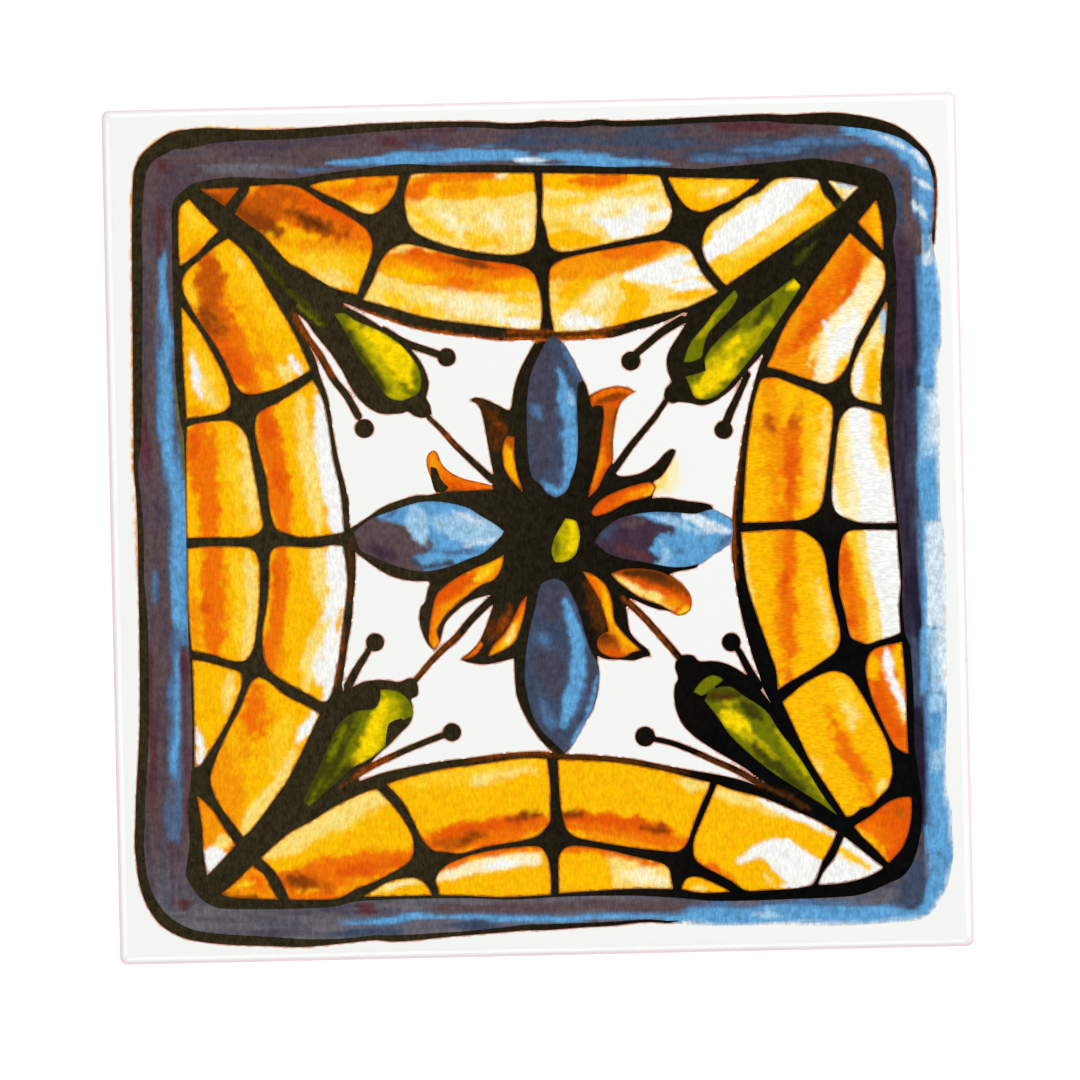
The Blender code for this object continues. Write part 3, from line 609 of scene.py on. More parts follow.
BUDS = """
lime 3.25,1.1 4.5,.75 4.9,-.75 4.75,-2 4.25,-3.25 3,-4 1.9,-4 1.55,-2.75 1.9,-1.25
  yellow 1.6 .9 4,.6 4.2,-1.6 3.4,-3.2
  olive 1 .8 2.1,-1.2 2,-3.6
olive -23.25,25.6 -22,25.6 -20.75,24.75 -18.5,23.75 -17,22.9 -15.5,21.75 -14.25,20.25 -13.4,18.75
-13.2,17.25 -13.6,16.1 -14.5,15.6 -15.5,15.25 -17,15.6 -18,16.75 -19.25,18.75 -20.5,20.5 -21.75,23
  lime 3 1.4 -21,24 -18,20.6 -15.8,16.6
  yellow 3.2 .9 -19.4,23.4 -16,20.4 -14.4,16.8
  moss 1 .9 -22.2,24 -19.4,19.4 -17.4,16
  lime .9 .8 -14.6,15.8 -17,16
olive 17.6,17.4 18.75,14.75 20.5,14.7 22,15.6 23.75,17.4 25.5,19.5 27.5,22 31.4,27.6 30.5,28.6 26,25.3
22,22 20,19.6 20,18 18.4,17.5
  lime 2.4 1.2 19.6,16.6 23.6,20.4 27.4,23.4
  yellow 2.6 1 18,15 21,17 24.2,19.8
  yellow 1 .8 22.4,20.4 23.8,21.6
  yellow 1 .8 29.8,27.2 31.4,28.6
  moss 1.2 .9 21,21.2 24.8,24.8
  moss .8 .8 25.4,22.6 28,26
olive 17.4,19 18.3,21.25 20,23.25 21.3,25 23.6,27.4 24,26.6 23,25 20.5,22.4 19.8,20.6 19.6,19.6 18.6,19.1
  lime .8 .7 19.4,22 21.8,25
olive -18.8,-18.4 -17,-18.6 -15.6,-19.6 -15.1,-20.6 -15.1,-21.6 -16,-22 -16.8,-22.8 -17.6,-23.8
-18.2,-24.9 -19.5,-26 -20.8,-26.8 -22.3,-27.5 -24,-29 -26,-30.7 -27.4,-31.9 -28.1,-31.3 -27.3,-29.6
-26,-27 -24.8,-24.5 -23.8,-22.5 -22,-21 -19.5,-20.6 -18.9,-19.6
  lime 2 1.2 -18.6,-18.6 -17.4,-20.8 -19.4,-24.6
  yellow 2.4 .8 -18.4,-20 -19.8,-23.6 -22,-27.4
  moss 2 1 -22,-21 -24.6,-25.4 -28,-31.4
  moss .8 .6 -21.2,-21.8 -23.4,-25.4 -26.6,-31
  olive .6 .6 -23,-22.6 -25,-26.4
  moss 1 .8 -21.8,-26.6 -24,-29 -26.6,-31.6
olive 17.75,-19.5 18.75,-18.25 20,-17.6 21.4,-18.1 20.25,-19 18.75,-20
olive 19,-20.5 20,-19.3 22,-19 23.5,-20 26.25,-22 27.5,-24 30,-27.5 32.5,-31.75 34.4,-34.45 32.5,-33
30.25,-31.5 26,-28.5 22,-24.75 20.5,-22.5
  moss 2 1 19,-20.3 23,-19.9
  umber 1 .9 20,-20 22.4,-20.4
  lime .7 .8 20.4,-21 22.8,-20.8
  yellow 1.8 .8 21,-21.9 22.6,-23 24.2,-24.2
  lime 1.2 1 23.6,-24.6 27,-27.4
  moss 1.6 1 23.4,-20.8 25.6,-22.8
  moss 1.2 1 24.6,-26 27.6,-29 31,-32
  lime .9 .8 27.4,-24 30.4,-28.2 32.8,-31.8
"""

# The flower's black ground, with its outlines, and the black bodies of the four buds
INK_SHAPES = """
flower -5,6 -5.3,5 -11,4.5 -12.6,4.15 -14,4.15 -16,3.65 -18,2.9 -19.5,1.95 -21,1 -22.2,.3 -22.2,.3
-22.4,-2 -21.4,-2.3 -21.4,-2.3 -20,-3.4 -18.5,-4.5 -17,-5.3 -15,-5.8 -13,-5.9 -12.7,-6.1 -13.1,-7.2
-13.3,-8.2 -13.9,-9 -14.05,-10.5 -13.7,-12 -13.1,-13.3 -12.4,-14 -11.75,-13.1 -11.6,-12.5 -11,-10.75
-9.5,-9.25 -8,-8.25 -5.75,-7.6 -5.4,-8.6 -5.8,-10 -6.5,-11.8 -7.2,-13.2 -8.4,-14.4 -9.4,-15.1 -9.4,-15.1
-8.4,-15.5 -6.5,-15.75 -4.8,-15.5 -3.1,-15.1 -3.05,-17.5 -2.9,-19.4 -2.2,-21.4 -1.2,-23.3 0,-25 1.1,-26.2
1.4,-26.8 2.6,-26.8 2.6,-26.4 3.25,-25.7 4.25,-24.2 5.1,-22.7 6,-21.2 6.5,-19.5 6.8,-17.5 6.65,-16 6.6,-15
7.5,-15.4 9.25,-15.55 11,-15.65 12.1,-15.3 12.9,-15.2 12.5,-14.4 11.4,-13.5 10.5,-12.3 10.2,-10.3 10,-9.3
9.3,-8.1 10.4,-8.3 12,-9.05 13.6,-9.7 15.1,-10 16.25,-10.5 17.5,-10 17.7,-8.5 17,-7.25 16.25,-6.5
15.2,-5.7 16.2,-5.4 18.4,-5 18.7,-4.6 19,-4.5 20.5,-3.5 21.75,-2.75 22.6,-2 23,-1 22.8,.4 21.75,1.1
20.5,1.75 20.4,2.2 19.5,2.5 17.5,2.8 15,3.25 13.4,3.2 13.6,3.9 13.9,4.6 13.5,5.1 14.5,5.7 15.6,7.2
16.35,8.7 15.9,8.95 15,8.4 14,7.3 12.5,6.3 11,5.9 9.6,5.9 9,6.4 8.9,7.6 8.95,9 9.1,11 9.5,13 10,14.4
10.8,15.2 11.7,15.7 10.75,16.2 9.25,16.35 7.75,16 6.3,15.3 6,16.6 5.7,17.1 5,18.7 4.25,20.2 3.25,21.7
2.6,22.6 .9,23 .25,21.9 -1,19.8 -1.9,18 -2.5,16 -2.8,14.1 -3.1,13.8 -5.5,15.05 -7,15.45 -7.6,15.1
-6.7,14.6 -6.1,13 -5.7,10.5 -5.3,8
top_left_bud -28,26.5 -26.5,24.75 -25.5,23.25 -23.75,21 -22.5,19 -21.5,17 -20.5,15.5 -19.25,14.4 -18,13.8
-15.5,13.8 -14.9,14 -14,13.4 -13,13.2 -12.1,13.6 -12.3,14.75 -12.7,15.5 -12.4,16.75 -12.4,17.5 -13,19.25
-14,20.75 -15,21.75 -17.5,23.7 -20,25.4 -22,26.6 -24,29 -28,31
top_right_bud 17.9,23.75 17,22.25 16,20.75 15.5,19.5 15.6,18 16,16.75 15.25,15.9 15.1,15 16,14.25
16.75,14.4 18,14.25 19.5,13.95 20.75,14.25 22,15 23.25,16 24.5,17.5 26.75,19.9 30,24.4 30,28 22,27 18,24.8
bottom_left_bud -21.9,-18 -20.75,-17.5 -19.25,-17.3 -17.75,-17.4 -16.6,-17.6 -15.5,-17.2 -14.75,-17.25
-14.4,-18.25 -14.5,-19.25 -15.3,-19.55 -15.1,-20.5 -15.05,-21.25 -15.5,-22.5 -16.5,-23.5 -17.75,-24.75
-19.25,-26 -20.5,-27.25 -22,-28.25 -24,-29.75 -28,-32 -28,-26 -25,-21 -23.3,-18.6
bottom_right_bud 15.75,-16 16.5,-15.25 17.75,-15.25 18.5,-15.95 20,-15.95 21.5,-16.25 23,-17 24.25,-18
25.5,-19.3 28,-23 31,-29 30,-33 28,-31.75 25.5,-30 23.5,-28.5 21.5,-27.25 19.5,-26 17.5,-24.5 16.4,-23.25
15.75,-21.75 15.5,-20.25 15.6,-18.75 16,-17.9 15.7,-16.75
"""

# Stems and stamens: the width at each end, then the route
INK_LINES = [
    (0.5, 0.8, "-12.5,13.25 -11,11.75 -9.5,10 -7.5,8 -5.2,5.8"),
    (0.6, 0.9, "15.25,14.5 14,12.75 12.5,11 11,9.25 9.5,7.25 8.75,6.3"),
    (0.6, 0.9, "-14.75,-17.5 -13,-15.5 -11.5,-14 -9.75,-12.5 -8,-10.5 -5.6,-8.2"),
    (0.75, 0.75, "16.25,-15.5 15,-14 13.75,-12.5 12.25,-10.75 10.75,-9.25 9.5,-8.1"),
    (0.9, 0.8, "-17.5,23.5 -15,22 -13,21.25 -11,20.5"),
    (0.7, 0.85, "-28,25.75 -26.5,23 -25,20.75 -23.5,18 -22,16 -20.7,13.6"),
    (1.0, 0.8, "17.4,24 15,22.6 13,21 12,20.2"),
    (0.7, 1.0, "24.9,17.4 23.5,14.5 22.75,13 22.25,11.75"),
    (1.0, 0.6, "-22.6,-18 -21.5,-16 -20.5,-14.5 -19.9,-13.5"),
    (0.7, 0.7, "-23.75,-29.75 -20.75,-27.75 -17,-26 -13.5,-24.6 -11.5,-23.9"),
    (1.0, 0.6, "25.4,-19 24.25,-17 23.25,-15 22.8,-14.4"),
    (0.6, 0.8, "13,-24.9 15,-25.4 17.5,-26.4 20,-27.6 22.5,-28.75 25,-30.25 28,-32 31,-33.4"),
]
# Anthers: x, y and radius
INK_DOTS = [
    (-10.2, 20.2, 1.05), (-20, 12.1, 1.1), (11.3, 19.3, 1.1), (21.95, 11, 1.05),
    (-19.3, -12.9, 1.05), (-10.55, -23.6, 1.05), (22.3, -13.8, 1.08), (12, -24.6, 1.15),
]
# Ink over the leaves and petals
INK_MARKS = """
leaf -12.4,7.5 -11.7,7.3 -11.2,6 -10.3,5 -10.9,4.4 -11.9,4.6 -12.3,6
bud -17.9,-22.4 -16.4,-21.8 -15.8,-22.4 -17.4,-24.4 -18.4,-25 -18.2,-23.6
"""

# Strokes over the blue border
BORDER_STROKES = """
sky .7 .8 -43,33 -43.1,29 -43.2,26
sky 1.5 .9 -43.1,29.4 -43,25 -43,19 -43,13 -42.5,8 -42.1,4 -42,-1.5 -41.9,-12.4
mid_blue 1.2 1.2 -42.3,-11 -42.6,-21 -43.3,-35
sky .4 .6 -42.4,-14 -42.6,-22 -43.2,-29
olive .5 .6 -42,17.6 -41.7,14 -41.2,10.6 -41,7
mid_blue .6 .6 -44.9,-4 -44.9,-7.7
maroon .9 .9 -45.5,14 -45.5,6
maroon .9 .9 -43.5,38.6 -43.5,33
maroon .7 .6 -45.6,-13 -45.7,-34
maroon .8 .6 -41.7,-13 -41.6,-34
maroon 1.4 1.2 -43.8,43.7 -42.2,43.3
maroon 1.2 1 -42.8,-43 -41.6,-43.2
maroon 1.2 .9 -17.75,46 -15.25,45.2
maroon .6 .7 -15,46.6 -9,46.6
maroon 1.2 .9 22,46.4 31.5,46.2
dusk 1.6 1.4 -38,42.8 -28,42.6
steel 2.4 1.8 -3,45.1 5,45 12,44.8 19,44.4
mid_blue .4 .5 -29,42.3 -22,42.5
sky .5 .4 -23.6,43.2 -16,43.3
sky 1.2 .6 -18,43.5 -11,43.7 -4,43.8 -.4,43.6
ice .7 .5 -1.6,43 2.4,42.9
sky 1.3 .6 1.4,43.4 6,43.2 11,42.6
sky .4 .4 10,42.5 16.6,42.2
steel 2 1.2 17,43.4 28,43.6 38,43.8
mid_blue .8 .9 19,42.7 25,42.6
mid_blue .8 .9 24,43.8 31,43.6
mid_blue .9 .9 31,44.6 38,44.6
mid_blue 1 .8 39.3,42.3 39.8,42.2
steel 1.4 1.2 41,42 42.6,39 43.4,35
sky 2 .6 36.6,46 42,44.6 44.6,42.6 46,40 46.1,37 46.2,32
ice .8 .6 40.2,45.2 42.4,44.4 44.4,43
ice .9 .5 45.2,43 46.3,41
ice .7 .4 45,39.9 47,38.5
ice .8 .5 44.8,37 46.4,35
sky 3 .5 46.1,-40 45.8,-42.6 44.6,-45 42,-46.6
steel 3.4 1 43.4,-40.6 42.4,-46
sky .4 .5 -25,-45.6 -20,-45.6 -15,-45.1
sky .7 .6 -17,-45.1 -11,-45 -5,-45.5 0,-45.8 8,-45.6 16,-46
steel .9 .8 -12,-46.2 -6,-46.2
slate 1.2 .9 -14,-44.2 -4,-44.3 6,-44.2 16,-44.6
sky 2.3 .5 14,-45.9 22,-45.9 28,-45.9 36,-46 44,-46.2
pale_blue 1.2 .9 24.6,-45.6 27.2,-45.8
steel 1 .9 -24.8,-46.8 -16.2,-46.8
maroon .9 .9 -21.8,-44 -20.2,-44
"""

# Square-ended dabs down the border's right side: colour, left, low, right and high side, softness
BORDER_DABS = """
purple 42.2 18 44.6 33.4 1.2
mid_blue 44.8 17 45.6 31 .4
sky 45.3 15.6 47.9 31 .5
ice 45.6 29.8 46.9 33.4 .4
steel 44.1 -1 45 15.4 .5
sky 44.7 4 47.8 15.4 .5
pale_blue 45.4 7.4 47.4 15.1 1
ice 46.4 9 47.9 14.6 .9
sky 44.8 -.3 47.6 4.2 .4
mid_blue 44.5 -12.6 45 0 .4
sky 44.9 -12.6 45.6 -.2 .3
ice 45.4 -12.6 47.9 -.3 .4
steel 42.8 -22 44.8 -13.4 .9
navy 42.8 -36 44.8 -22 .9
sky 44.3 -20.3 45.4 -12.6 .4
pale_blue 45.3 -20.3 47.9 -12.7 .5
ice 46.4 -19.4 47.9 -13.2 .8
mid_blue 44.8 -36.4 45.4 -20 .4
sky 45.2 -37 47.8 -20.3 .4
pale_blue 45.5 -22.2 46.8 -20.4 .6
pale_blue 45.5 -29.2 46.8 -27 .6
sky 44.6 -42 47.9 -36 .4
"""

# Strokes over the ink, and over the white field
INK_STROKES = """
umber 1.3 .5 -3.6,22.6 0,22.5 4,22.5 9.4,22.7
rust .4 .3 -3.6,22.1 0,22 4,22 8.4,22.1
brown .4 .3 -3,23.1 0,23 2,23 8,23.1 10.4,23.4
rust .35 .3 -22,26.6 -15,24 -9,22.7 -4,22.1
brown .45 .4 -22.9,-9 -23.3,-13 -24.1,-17.6
umber .8 .4 -9,-27 -6.5,-26.6 -2,-26.4 1,-26.5
brown .35 .3 -7,-26.4 -2,-26.1 1,-26.2
umber .7 .5 1,-26.6 4,-26.8 10,-27.4 17,-29
brown .45 .4 -28,25.75 -26.5,23 -25,20.75 -23.5,18.2
brown .35 .4 -12.3,13 -9.5,10 -8.6,9
brown .35 .4 -14.6,-17.2 -11.5,-14 -9.5,-12.2
brown .4 .4 -23.75,-29.75 -20.75,-27.75 -17,-26
umber .7 .5 18,-26.8 25,-30.25 31,-33.4
brown .5 .4 9.6,-8.2 12.25,-10.75 16,-15.4
brown .5 .3 24.7,15.6 24,10.5 23.2,5 22.9,1 22.9,-3 23.1,-7
brown .5 .4 47.4,40 47.4,33
umber 2.2 1 -6.8,14.6 -4.8,12.8 -4.6,9.6
brown .8 .8 -4.6,12.6 -3.4,11.2
brown 1 .9 -3.4,-9.4 -5.4,-12.4
umber 1.2 1 -6.6,-12.6 -5,-10
umber 2 1 5.4,-6.6 6.8,-9.4 7.2,-12.6
umber .4 .5 -21.9,-1 -22.2,-8
moss .5 .5 -33,33.6 -31,31.4 -29,29
moss .5 .5 -28.6,28.4 -26.4,26.6 -24.4,24.2
olive .35 .4 -27.4,26.6 -25,24.4
moss .6 .5 37,38 34.6,35.6 31,32.6
moss .5 .5 33.6,33 30.4,30
"""
FIELD_STROKES = """
cream 1.8 1.2 13.6,3.8 15,5.4 15.8,7.6
milk 1.4 1.2 15.4,4.2 16.3,7.4
straw .8 .8 13.6,4.2 14.8,5.8
amber .12 .3 -46.9,-5 -47.1,8 -46.9,22 -46.7,37 -46.4,42.5 -45.8,44 -45.1,44.9 -43.6,46.2 -42,47.1
straw .1 .3 -42,47.1 -40.4,47.5 -37.5,47.7 -34,47.5 -27.5,47.4
"""


def numbers(text, width=2):
    """The points of a drawn line, as rows of numbers."""
    return np.array([float(number) for number in text.replace(",", " ").split()]).reshape(-1, width)


def rows(text):
    """The rows of a drawn table. A line that starts with a number goes on with the row before."""
    return [row for row in re.sub(r"\n(?=[-.\d])", " ", text).splitlines() if row]


def strokes(found):
    """Brush strokes from their rows: colour, width, softness and route."""
    parts = [row.split(None, 3) for row in found]
    return [(colour, float(width), float(soft), route) for colour, width, soft, route in parts]


def blocks(text):
    """Painted shapes from their text: outline, ground colour and the strokes on it."""
    found = []
    for row in rows(text):
        ground, first, rest = row.split(None, 2)
        if "," in first:
            found.append((first + " " + rest, ground, []))
        else:
            found[-1][2].extend(strokes([row]))
    return found


def shapes(text):
    """The outlines from a text that names each of them."""
    return [row.split(None, 1)[1] for row in rows(text)]


def heading(steps):
    """Steps from point to point, scaled to a length of 1 on the face."""
    return steps / np.maximum(np.hypot(steps[:, 0], steps[:, 1]), TINY)[:, None]


def curve(points, closed):
    """A line through the points, smooth where they turn gently and sharp at corners."""
    count = len(points)
    if closed:
        before, after = np.roll(points, 1, axis=0), np.roll(points, -1, axis=0)
    else:
        before, after = np.vstack([points[:1], points[:-1]]), np.vstack([points[1:], points[-1:]])
    arrive, leave, through = heading(points - before), heading(after - points), heading(after - before)
    turn = np.degrees(np.arccos(np.clip((arrive[:, :2] * leave[:, :2]).sum(1), -1, 1)))
    sharp = np.clip((turn - SMOOTH_TURN) / (SHARP_TURN - SMOOTH_TURN), 0, 1)[:, None]
    arrive = through + (arrive - through) * sharp
    leave = through + (leave - through) * sharp
    line = []
    for i in range(count if closed else count - 1):
        j = (i + 1) % count
        chord = np.hypot(*(points[j] - points[i])[:2])
        if chord < TINY:
            continue
        steps = max(2, int(chord / LINE_STEP))
        t = (np.arange(steps) / steps)[:, None]
        line.append(
            (2 * t**3 - 3 * t**2 + 1) * points[i]
            + (t**3 - 2 * t**2 + t) * chord * leave[i]
            + (3 * t**2 - 2 * t**3) * points[j]
            + (t**3 - t**2) * chord * arrive[j]
        )
    if not closed:
        line.append(points[-1:])
    return np.vstack(line)


def near(xy, line, reach):
    """Which points lie in the line's box, widened by the reach."""
    low, high = line[:, :2].min(0) - reach, line[:, :2].max(0) + reach
    return np.nonzero(np.all((xy > low) & (xy < high), axis=1))[0]


def distance(xy, line, closed):
    """Distance to the line, how far along its values that is, and whether a point is inside."""
    ends = np.roll(line, -1, axis=0) if closed else line[1:]
    starts = line if closed else line[:-1]
    best = np.full(len(xy), np.inf)
    value = np.zeros(len(xy))
    inside = np.zeros(len(xy), bool)
    x, y = xy[:, 0], xy[:, 1]
    for a, b in zip(starts, ends):
        dx, dy = b[0] - a[0], b[1] - a[1]
        along = np.clip(((x - a[0]) * dx + (y - a[1]) * dy) / max(dx * dx + dy * dy, TINY * TINY), 0, 1)
        gap = (x - a[0] - along * dx) ** 2 + (y - a[1] - along * dy) ** 2
        closer = gap < best
        best = np.where(closer, gap, best)
        if len(a) > 2:
            value = np.where(closer, a[2] + along * (b[2] - a[2]), value)
        if closed:
            crosses = (a[1] > y) != (b[1] > y)
            if crosses.any():
                at = a[0] + (y - a[1]) * dx / dy
                inside ^= crosses & (x < at)
    return np.sqrt(best), value, inside


def signed(gap, inside):
    """A distance as a field that is negative inside."""
    return np.where(inside, -gap, gap)


def area_field(xy, text):
    """Signed distance to a closed outline, negative inside it."""
    line = curve(numbers(text), True)
    field = np.full(len(xy), FAR)
    some = near(xy, line, REACH)
    gap, _, inside = distance(xy[some], line, True)
    field[some] = signed(gap, inside)
    return field


def joint_field(xy, outlines):
    """Signed distance to the nearest of some closed outlines."""
    field = np.full(len(xy), FAR)
    for outline in outlines:
        field = np.minimum(field, area_field(xy, outline))
    return field


def line_field(xy, points):
    """Signed distance to a brush line whose points carry its half width."""
    line = curve(points, False)
    field = np.full(len(xy), FAR)
    some = near(xy, line, REACH)
    gap, half, _ = distance(xy[some], line, False)
    field[some] = gap - half
    return field


def tapered(line, width):
    """The line with the brush's half width at each point, thinner towards both ends."""
    run = np.concatenate([[0], np.cumsum(np.hypot(*np.diff(line, axis=0).T))])
    reach = min(TIP_SHARE * run[-1], TIP_WIDTHS * width)
    full = np.clip(np.minimum(run, run[-1] - run) / reach, TIP_BLUNT, 1)
    return np.column_stack([line, width / 2 * np.sqrt(full)])


def brush(colours, xy, wobble, lines, mask=None):
    """Paints soft strokes over the colours, where the mask allows it."""
    for colour, width, soft, route in lines:
        line = tapered(curve(numbers(route), False), width)
        some = near(xy, line, width / 2 + soft + STROKE_MARGIN)
        if mask is not None:
            some = some[mask[some]]
        gap, half, _ = distance(xy[some], line, False)
        cover = np.clip((half - gap + wobble[some] * soft) / soft + 0.5, 0, 1)
        cover = (cover * cover * (3 - 2 * cover))[:, None]
        colours[some] += (linear(colour) - colours[some]) * cover


def dab(colours, xy, wobble, text):
    """Paints soft rectangles over the colours."""
    x, y = xy.T
    for row in rows(text):
        colour, *sides = row.split()
        left, low, right, high, soft = [float(side) for side in sides]
        inset = np.minimum(np.minimum(x - left, right - x), np.minimum(y - low, high - y))
        tint(colours, colour, (inset + wobble * soft) / soft + 0.5)


def tint(colours, name, amount):
    """Turns the colours towards the named paint by an amount for each point."""
    colours += (linear(name) - colours) * np.clip(amount, 0, 1)[:, None]


def ripple(xy, size, seed):
    """Smooth noise between about -1 and 1, with lumps of that size, or that size in x and y."""
    draw = np.random.default_rng(seed)
    count = int(2 * HALF / np.min(size)) + 4
    knots = draw.uniform(-1, 1, (count, count))
    place = (xy + HALF) / size + 1
    cell = np.clip(place.astype(int), 0, count - 2)
    t = place - cell
    t = t * t * (3 - 2 * t)
    i, j = cell[:, 0], cell[:, 1]
    low = knots[i, j] * (1 - t[:, 0]) + knots[i + 1, j] * t[:, 0]
    high = knots[i, j + 1] * (1 - t[:, 0]) + knots[i + 1, j + 1] * t[:, 0]
    return low * (1 - t[:, 1]) + high * t[:, 1]


def lumps(xy, waves):
    """Noise summed from waves, each of a size, a share and a seed."""
    return sum(share * ripple(xy, size, seed) for size, share, seed in waves)


def streaks(xy, thin, long, seed):
    """Noise drawn out along the nearer side of the tile, as a brush leaves it on the border."""
    upright = ripple(xy, (thin, long), seed)
    level = ripple(xy, (long, thin), seed + 1)
    share = np.clip((np.abs(xy[:, 0]) - np.abs(xy[:, 1])) / MITRE + 0.5, 0, 1)
    return level + (upright - level) * share


class Sheet:
    """The flat of the face as a fine mesh, whose points carry every field and colour."""

    def __init__(self):
        steps = np.linspace(-FLAT, FLAT, SHEET_CELLS + 1)
        x, y = np.meshgrid(steps, steps, indexing="ij")
        self.xy = np.column_stack([x.ravel(), y.ravel()])
        side = SHEET_CELLS + 1
        i, j = np.meshgrid(np.arange(SHEET_CELLS), np.arange(SHEET_CELLS), indexing="ij")
        i, j = i.ravel(), j.ravel()
        a, b, c, d = i * side + j, (i + 1) * side + j, (i + 1) * side + j + 1, i * side + j + 1
        even = ((i + j) % 2 == 0)[:, None]
        first = np.where(even, np.column_stack([a, b, c]), np.column_stack([a, b, d]))
        second = np.where(even, np.column_stack([a, c, d]), np.column_stack([b, c, d]))
        self.triangles = np.vstack([first, second])
        self.channels = {"x": self.xy[:, 0], "y": self.xy[:, 1]}

    def table(self):
        """All the channels as one table, and the column of each."""
        columns, parts, at = {}, [], 0
        for name, values in self.channels.items():
            values = values.reshape(len(self.xy), -1)
            columns[name] = slice(at, at + values.shape[1])
            at += values.shape[1]
            parts.append(values)
        return np.hstack(parts), columns


def cut(table, triangles, column):
    """Cuts the triangles along a field's zero line: the table with the new points, inside, outside."""
    value = table[:, column]
    sign = np.where(np.abs(value) < SNAP, 0, np.sign(value)).astype(int)
    corner = sign[triangles]
    inside = (corner <= 0).all(1)
    outside = (corner >= 0).all(1) & ~inside
    mixed = triangles[~inside & ~outside]
    if not len(mixed):
        return table, triangles[inside], triangles[outside]
    corner = sign[mixed]

    # Turn each triangle so that its zero corner, or else its odd one out, comes first.
    zero = (corner == 0).any(1)
    odd = np.where((corner == 1).sum(1)[:, None] == 1, corner == 1, corner == -1)
    first = np.where(zero, np.argmax(corner == 0, axis=1), np.argmax(odd, axis=1))
    each = np.arange(len(mixed))
    p, q, r = (mixed[each, (first + k) % 3] for k in range(3))

    def crossing(a, b):
        """The edges between those corners, each the same from either side."""
        return np.column_stack([np.minimum(a, b), np.maximum(a, b)])

    pairs = np.vstack([crossing(q[zero], r[zero]), crossing(p[~zero], q[~zero]),
                       crossing(p[~zero], r[~zero])])
    unique, back = np.unique(pairs, axis=0, return_inverse=True)
    back = back.ravel() + len(table)
    a, b = unique[:, 0], unique[:, 1]
    t = (value[a] / (value[a] - value[b]))[:, None]
    fresh = table[a] * (1 - t) + table[b] * t
    fresh[:, column] = 0
    table = np.vstack([table, fresh])

    zeros = int(zero.sum())
    others = len(mixed) - zeros
    e = back[:zeros]
    f, g = back[zeros : zeros + others], back[zeros + others :]
    zp, zq, zr = p[zero], q[zero], r[zero]
    op, oq, orr = p[~zero], q[~zero], r[~zero]
    new = [
        (np.column_stack([zp, zq, e]), sign[zq]),
        (np.column_stack([zp, e, zr]), sign[zr]),
        (np.column_stack([op, f, g]), sign[op]),
        (np.column_stack([f, oq, orr]), sign[oq]),
        (np.column_stack([f, orr, g]), sign[oq]),
    ]
    within = [triangles[inside]] + [part[side < 0] for part, side in new]
    beyond = [triangles[outside]] + [part[side > 0] for part, side in new]
    return table, np.vstack(within), np.vstack(beyond)


def paint_blocks(sheet, wobble, drawn, colours):
    """The joint field of some shapes, painting each inside its own outline."""
    joint = np.full(len(sheet.xy), FAR)
    for outline, ground, over in drawn:
        field = area_field(sheet.xy, outline)
        mask = field < BLEED
        colours[mask] = linear(ground)
        brush(colours, sheet.xy, wobble, over, mask)
        joint = np.minimum(joint, field)
    return joint


# Washes of the painted shapes: colour channel, ground, then each field's channel and its shapes
WASHES = [
    ("ochre", "gold", [("blocks_top", TOP_BLOCKS), ("blocks_left", LEFT_BLOCKS),
                       ("blocks_bottom", BOTTOM_BLOCKS), ("blocks_right", RIGHT_BLOCKS)]),
    ("leaf", "orange", [("leaves", LEAVES)]),
    ("petal", "slate", [("petals", PETALS)]),
    ("bud", "lime", [("buds", BUDS)]),
]


def draw_shapes(sheet, wobble):
    """The painted shapes between the ink lines, with their washes."""
    for wash, ground, fields in WASHES:
        colours = np.tile(linear(ground), (len(sheet.xy), 1))
        for field, text in fields:
            sheet.channels[field] = paint_blocks(sheet, wobble, blocks(text), colours)
        sheet.channels[wash] = colours


def draw_ink(sheet):
    """The ink inside the white field: the flower's ground, the buds' bodies, stems and anthers."""
    xy = sheet.xy
    sheet.channels["marks"] = joint_field(xy, shapes(INK_MARKS))
    flower = joint_field(xy, shapes(INK_SHAPES))
    for start, end, route in INK_LINES:
        points = numbers(route)
        half = np.linspace(start, end, len(points)) / 2
        flower = np.minimum(flower, line_field(xy, np.column_stack([points, half])))
    for x, y, radius in INK_DOTS:
        flower = np.minimum(flower, np.hypot(xy[:, 0] - x, xy[:, 1] - y) - radius)
    sheet.channels["flower_ink"] = flower


def draw_edges(sheet):
    """Draws the three long edges: the gap to the border's edge, and the width of its ink there."""
    for channel, text in (("field", FIELD_EDGE), ("lead", LEAD_EDGE)):
        gap, _, inside = distance(sheet.xy, curve(numbers(text), True), True)
        sheet.channels[channel] = signed(gap, inside)
    gap, width, inside = distance(sheet.xy, curve(numbers(BORDER_EDGE, 3), True), True)
    sheet.channels["border"] = signed(gap, inside)
    sheet.channels["border_ink"] = np.maximum(sheet.channels["border"], gap - width)
    return gap, width


# The border's wash. It pales to dusk below a line, and turns navy along the right side
DUSK_BELOW, DUSK_SPAN = -36, 8
NAVY_LEFT, NAVY_SPAN = 39, 4
NAVY_MIDDLE, NAVY_HALF, NAVY_FADE = -2, 34, 3
# Its open edge fades to white, inside a wider pale halo
OPEN_FADE = 0.3
OPEN_HALO = 2.2 * OPEN_FADE
HALO_STRENGTH = 0.3
# Under each pale stroke lies a wider and darker one
UNDER_WIDTH, UNDER_MORE, UNDER_SOFT = 1.3, 0.3, 0.9
PALE = ("sky", "pale_blue", "ice")
# Shares of the fine and broad streaks and of the wobble in the ragged edges of its strokes
FINE_SHARE, BROAD_SHARE, WOBBLE_SHARE = 0.55, 0.35, 0.2


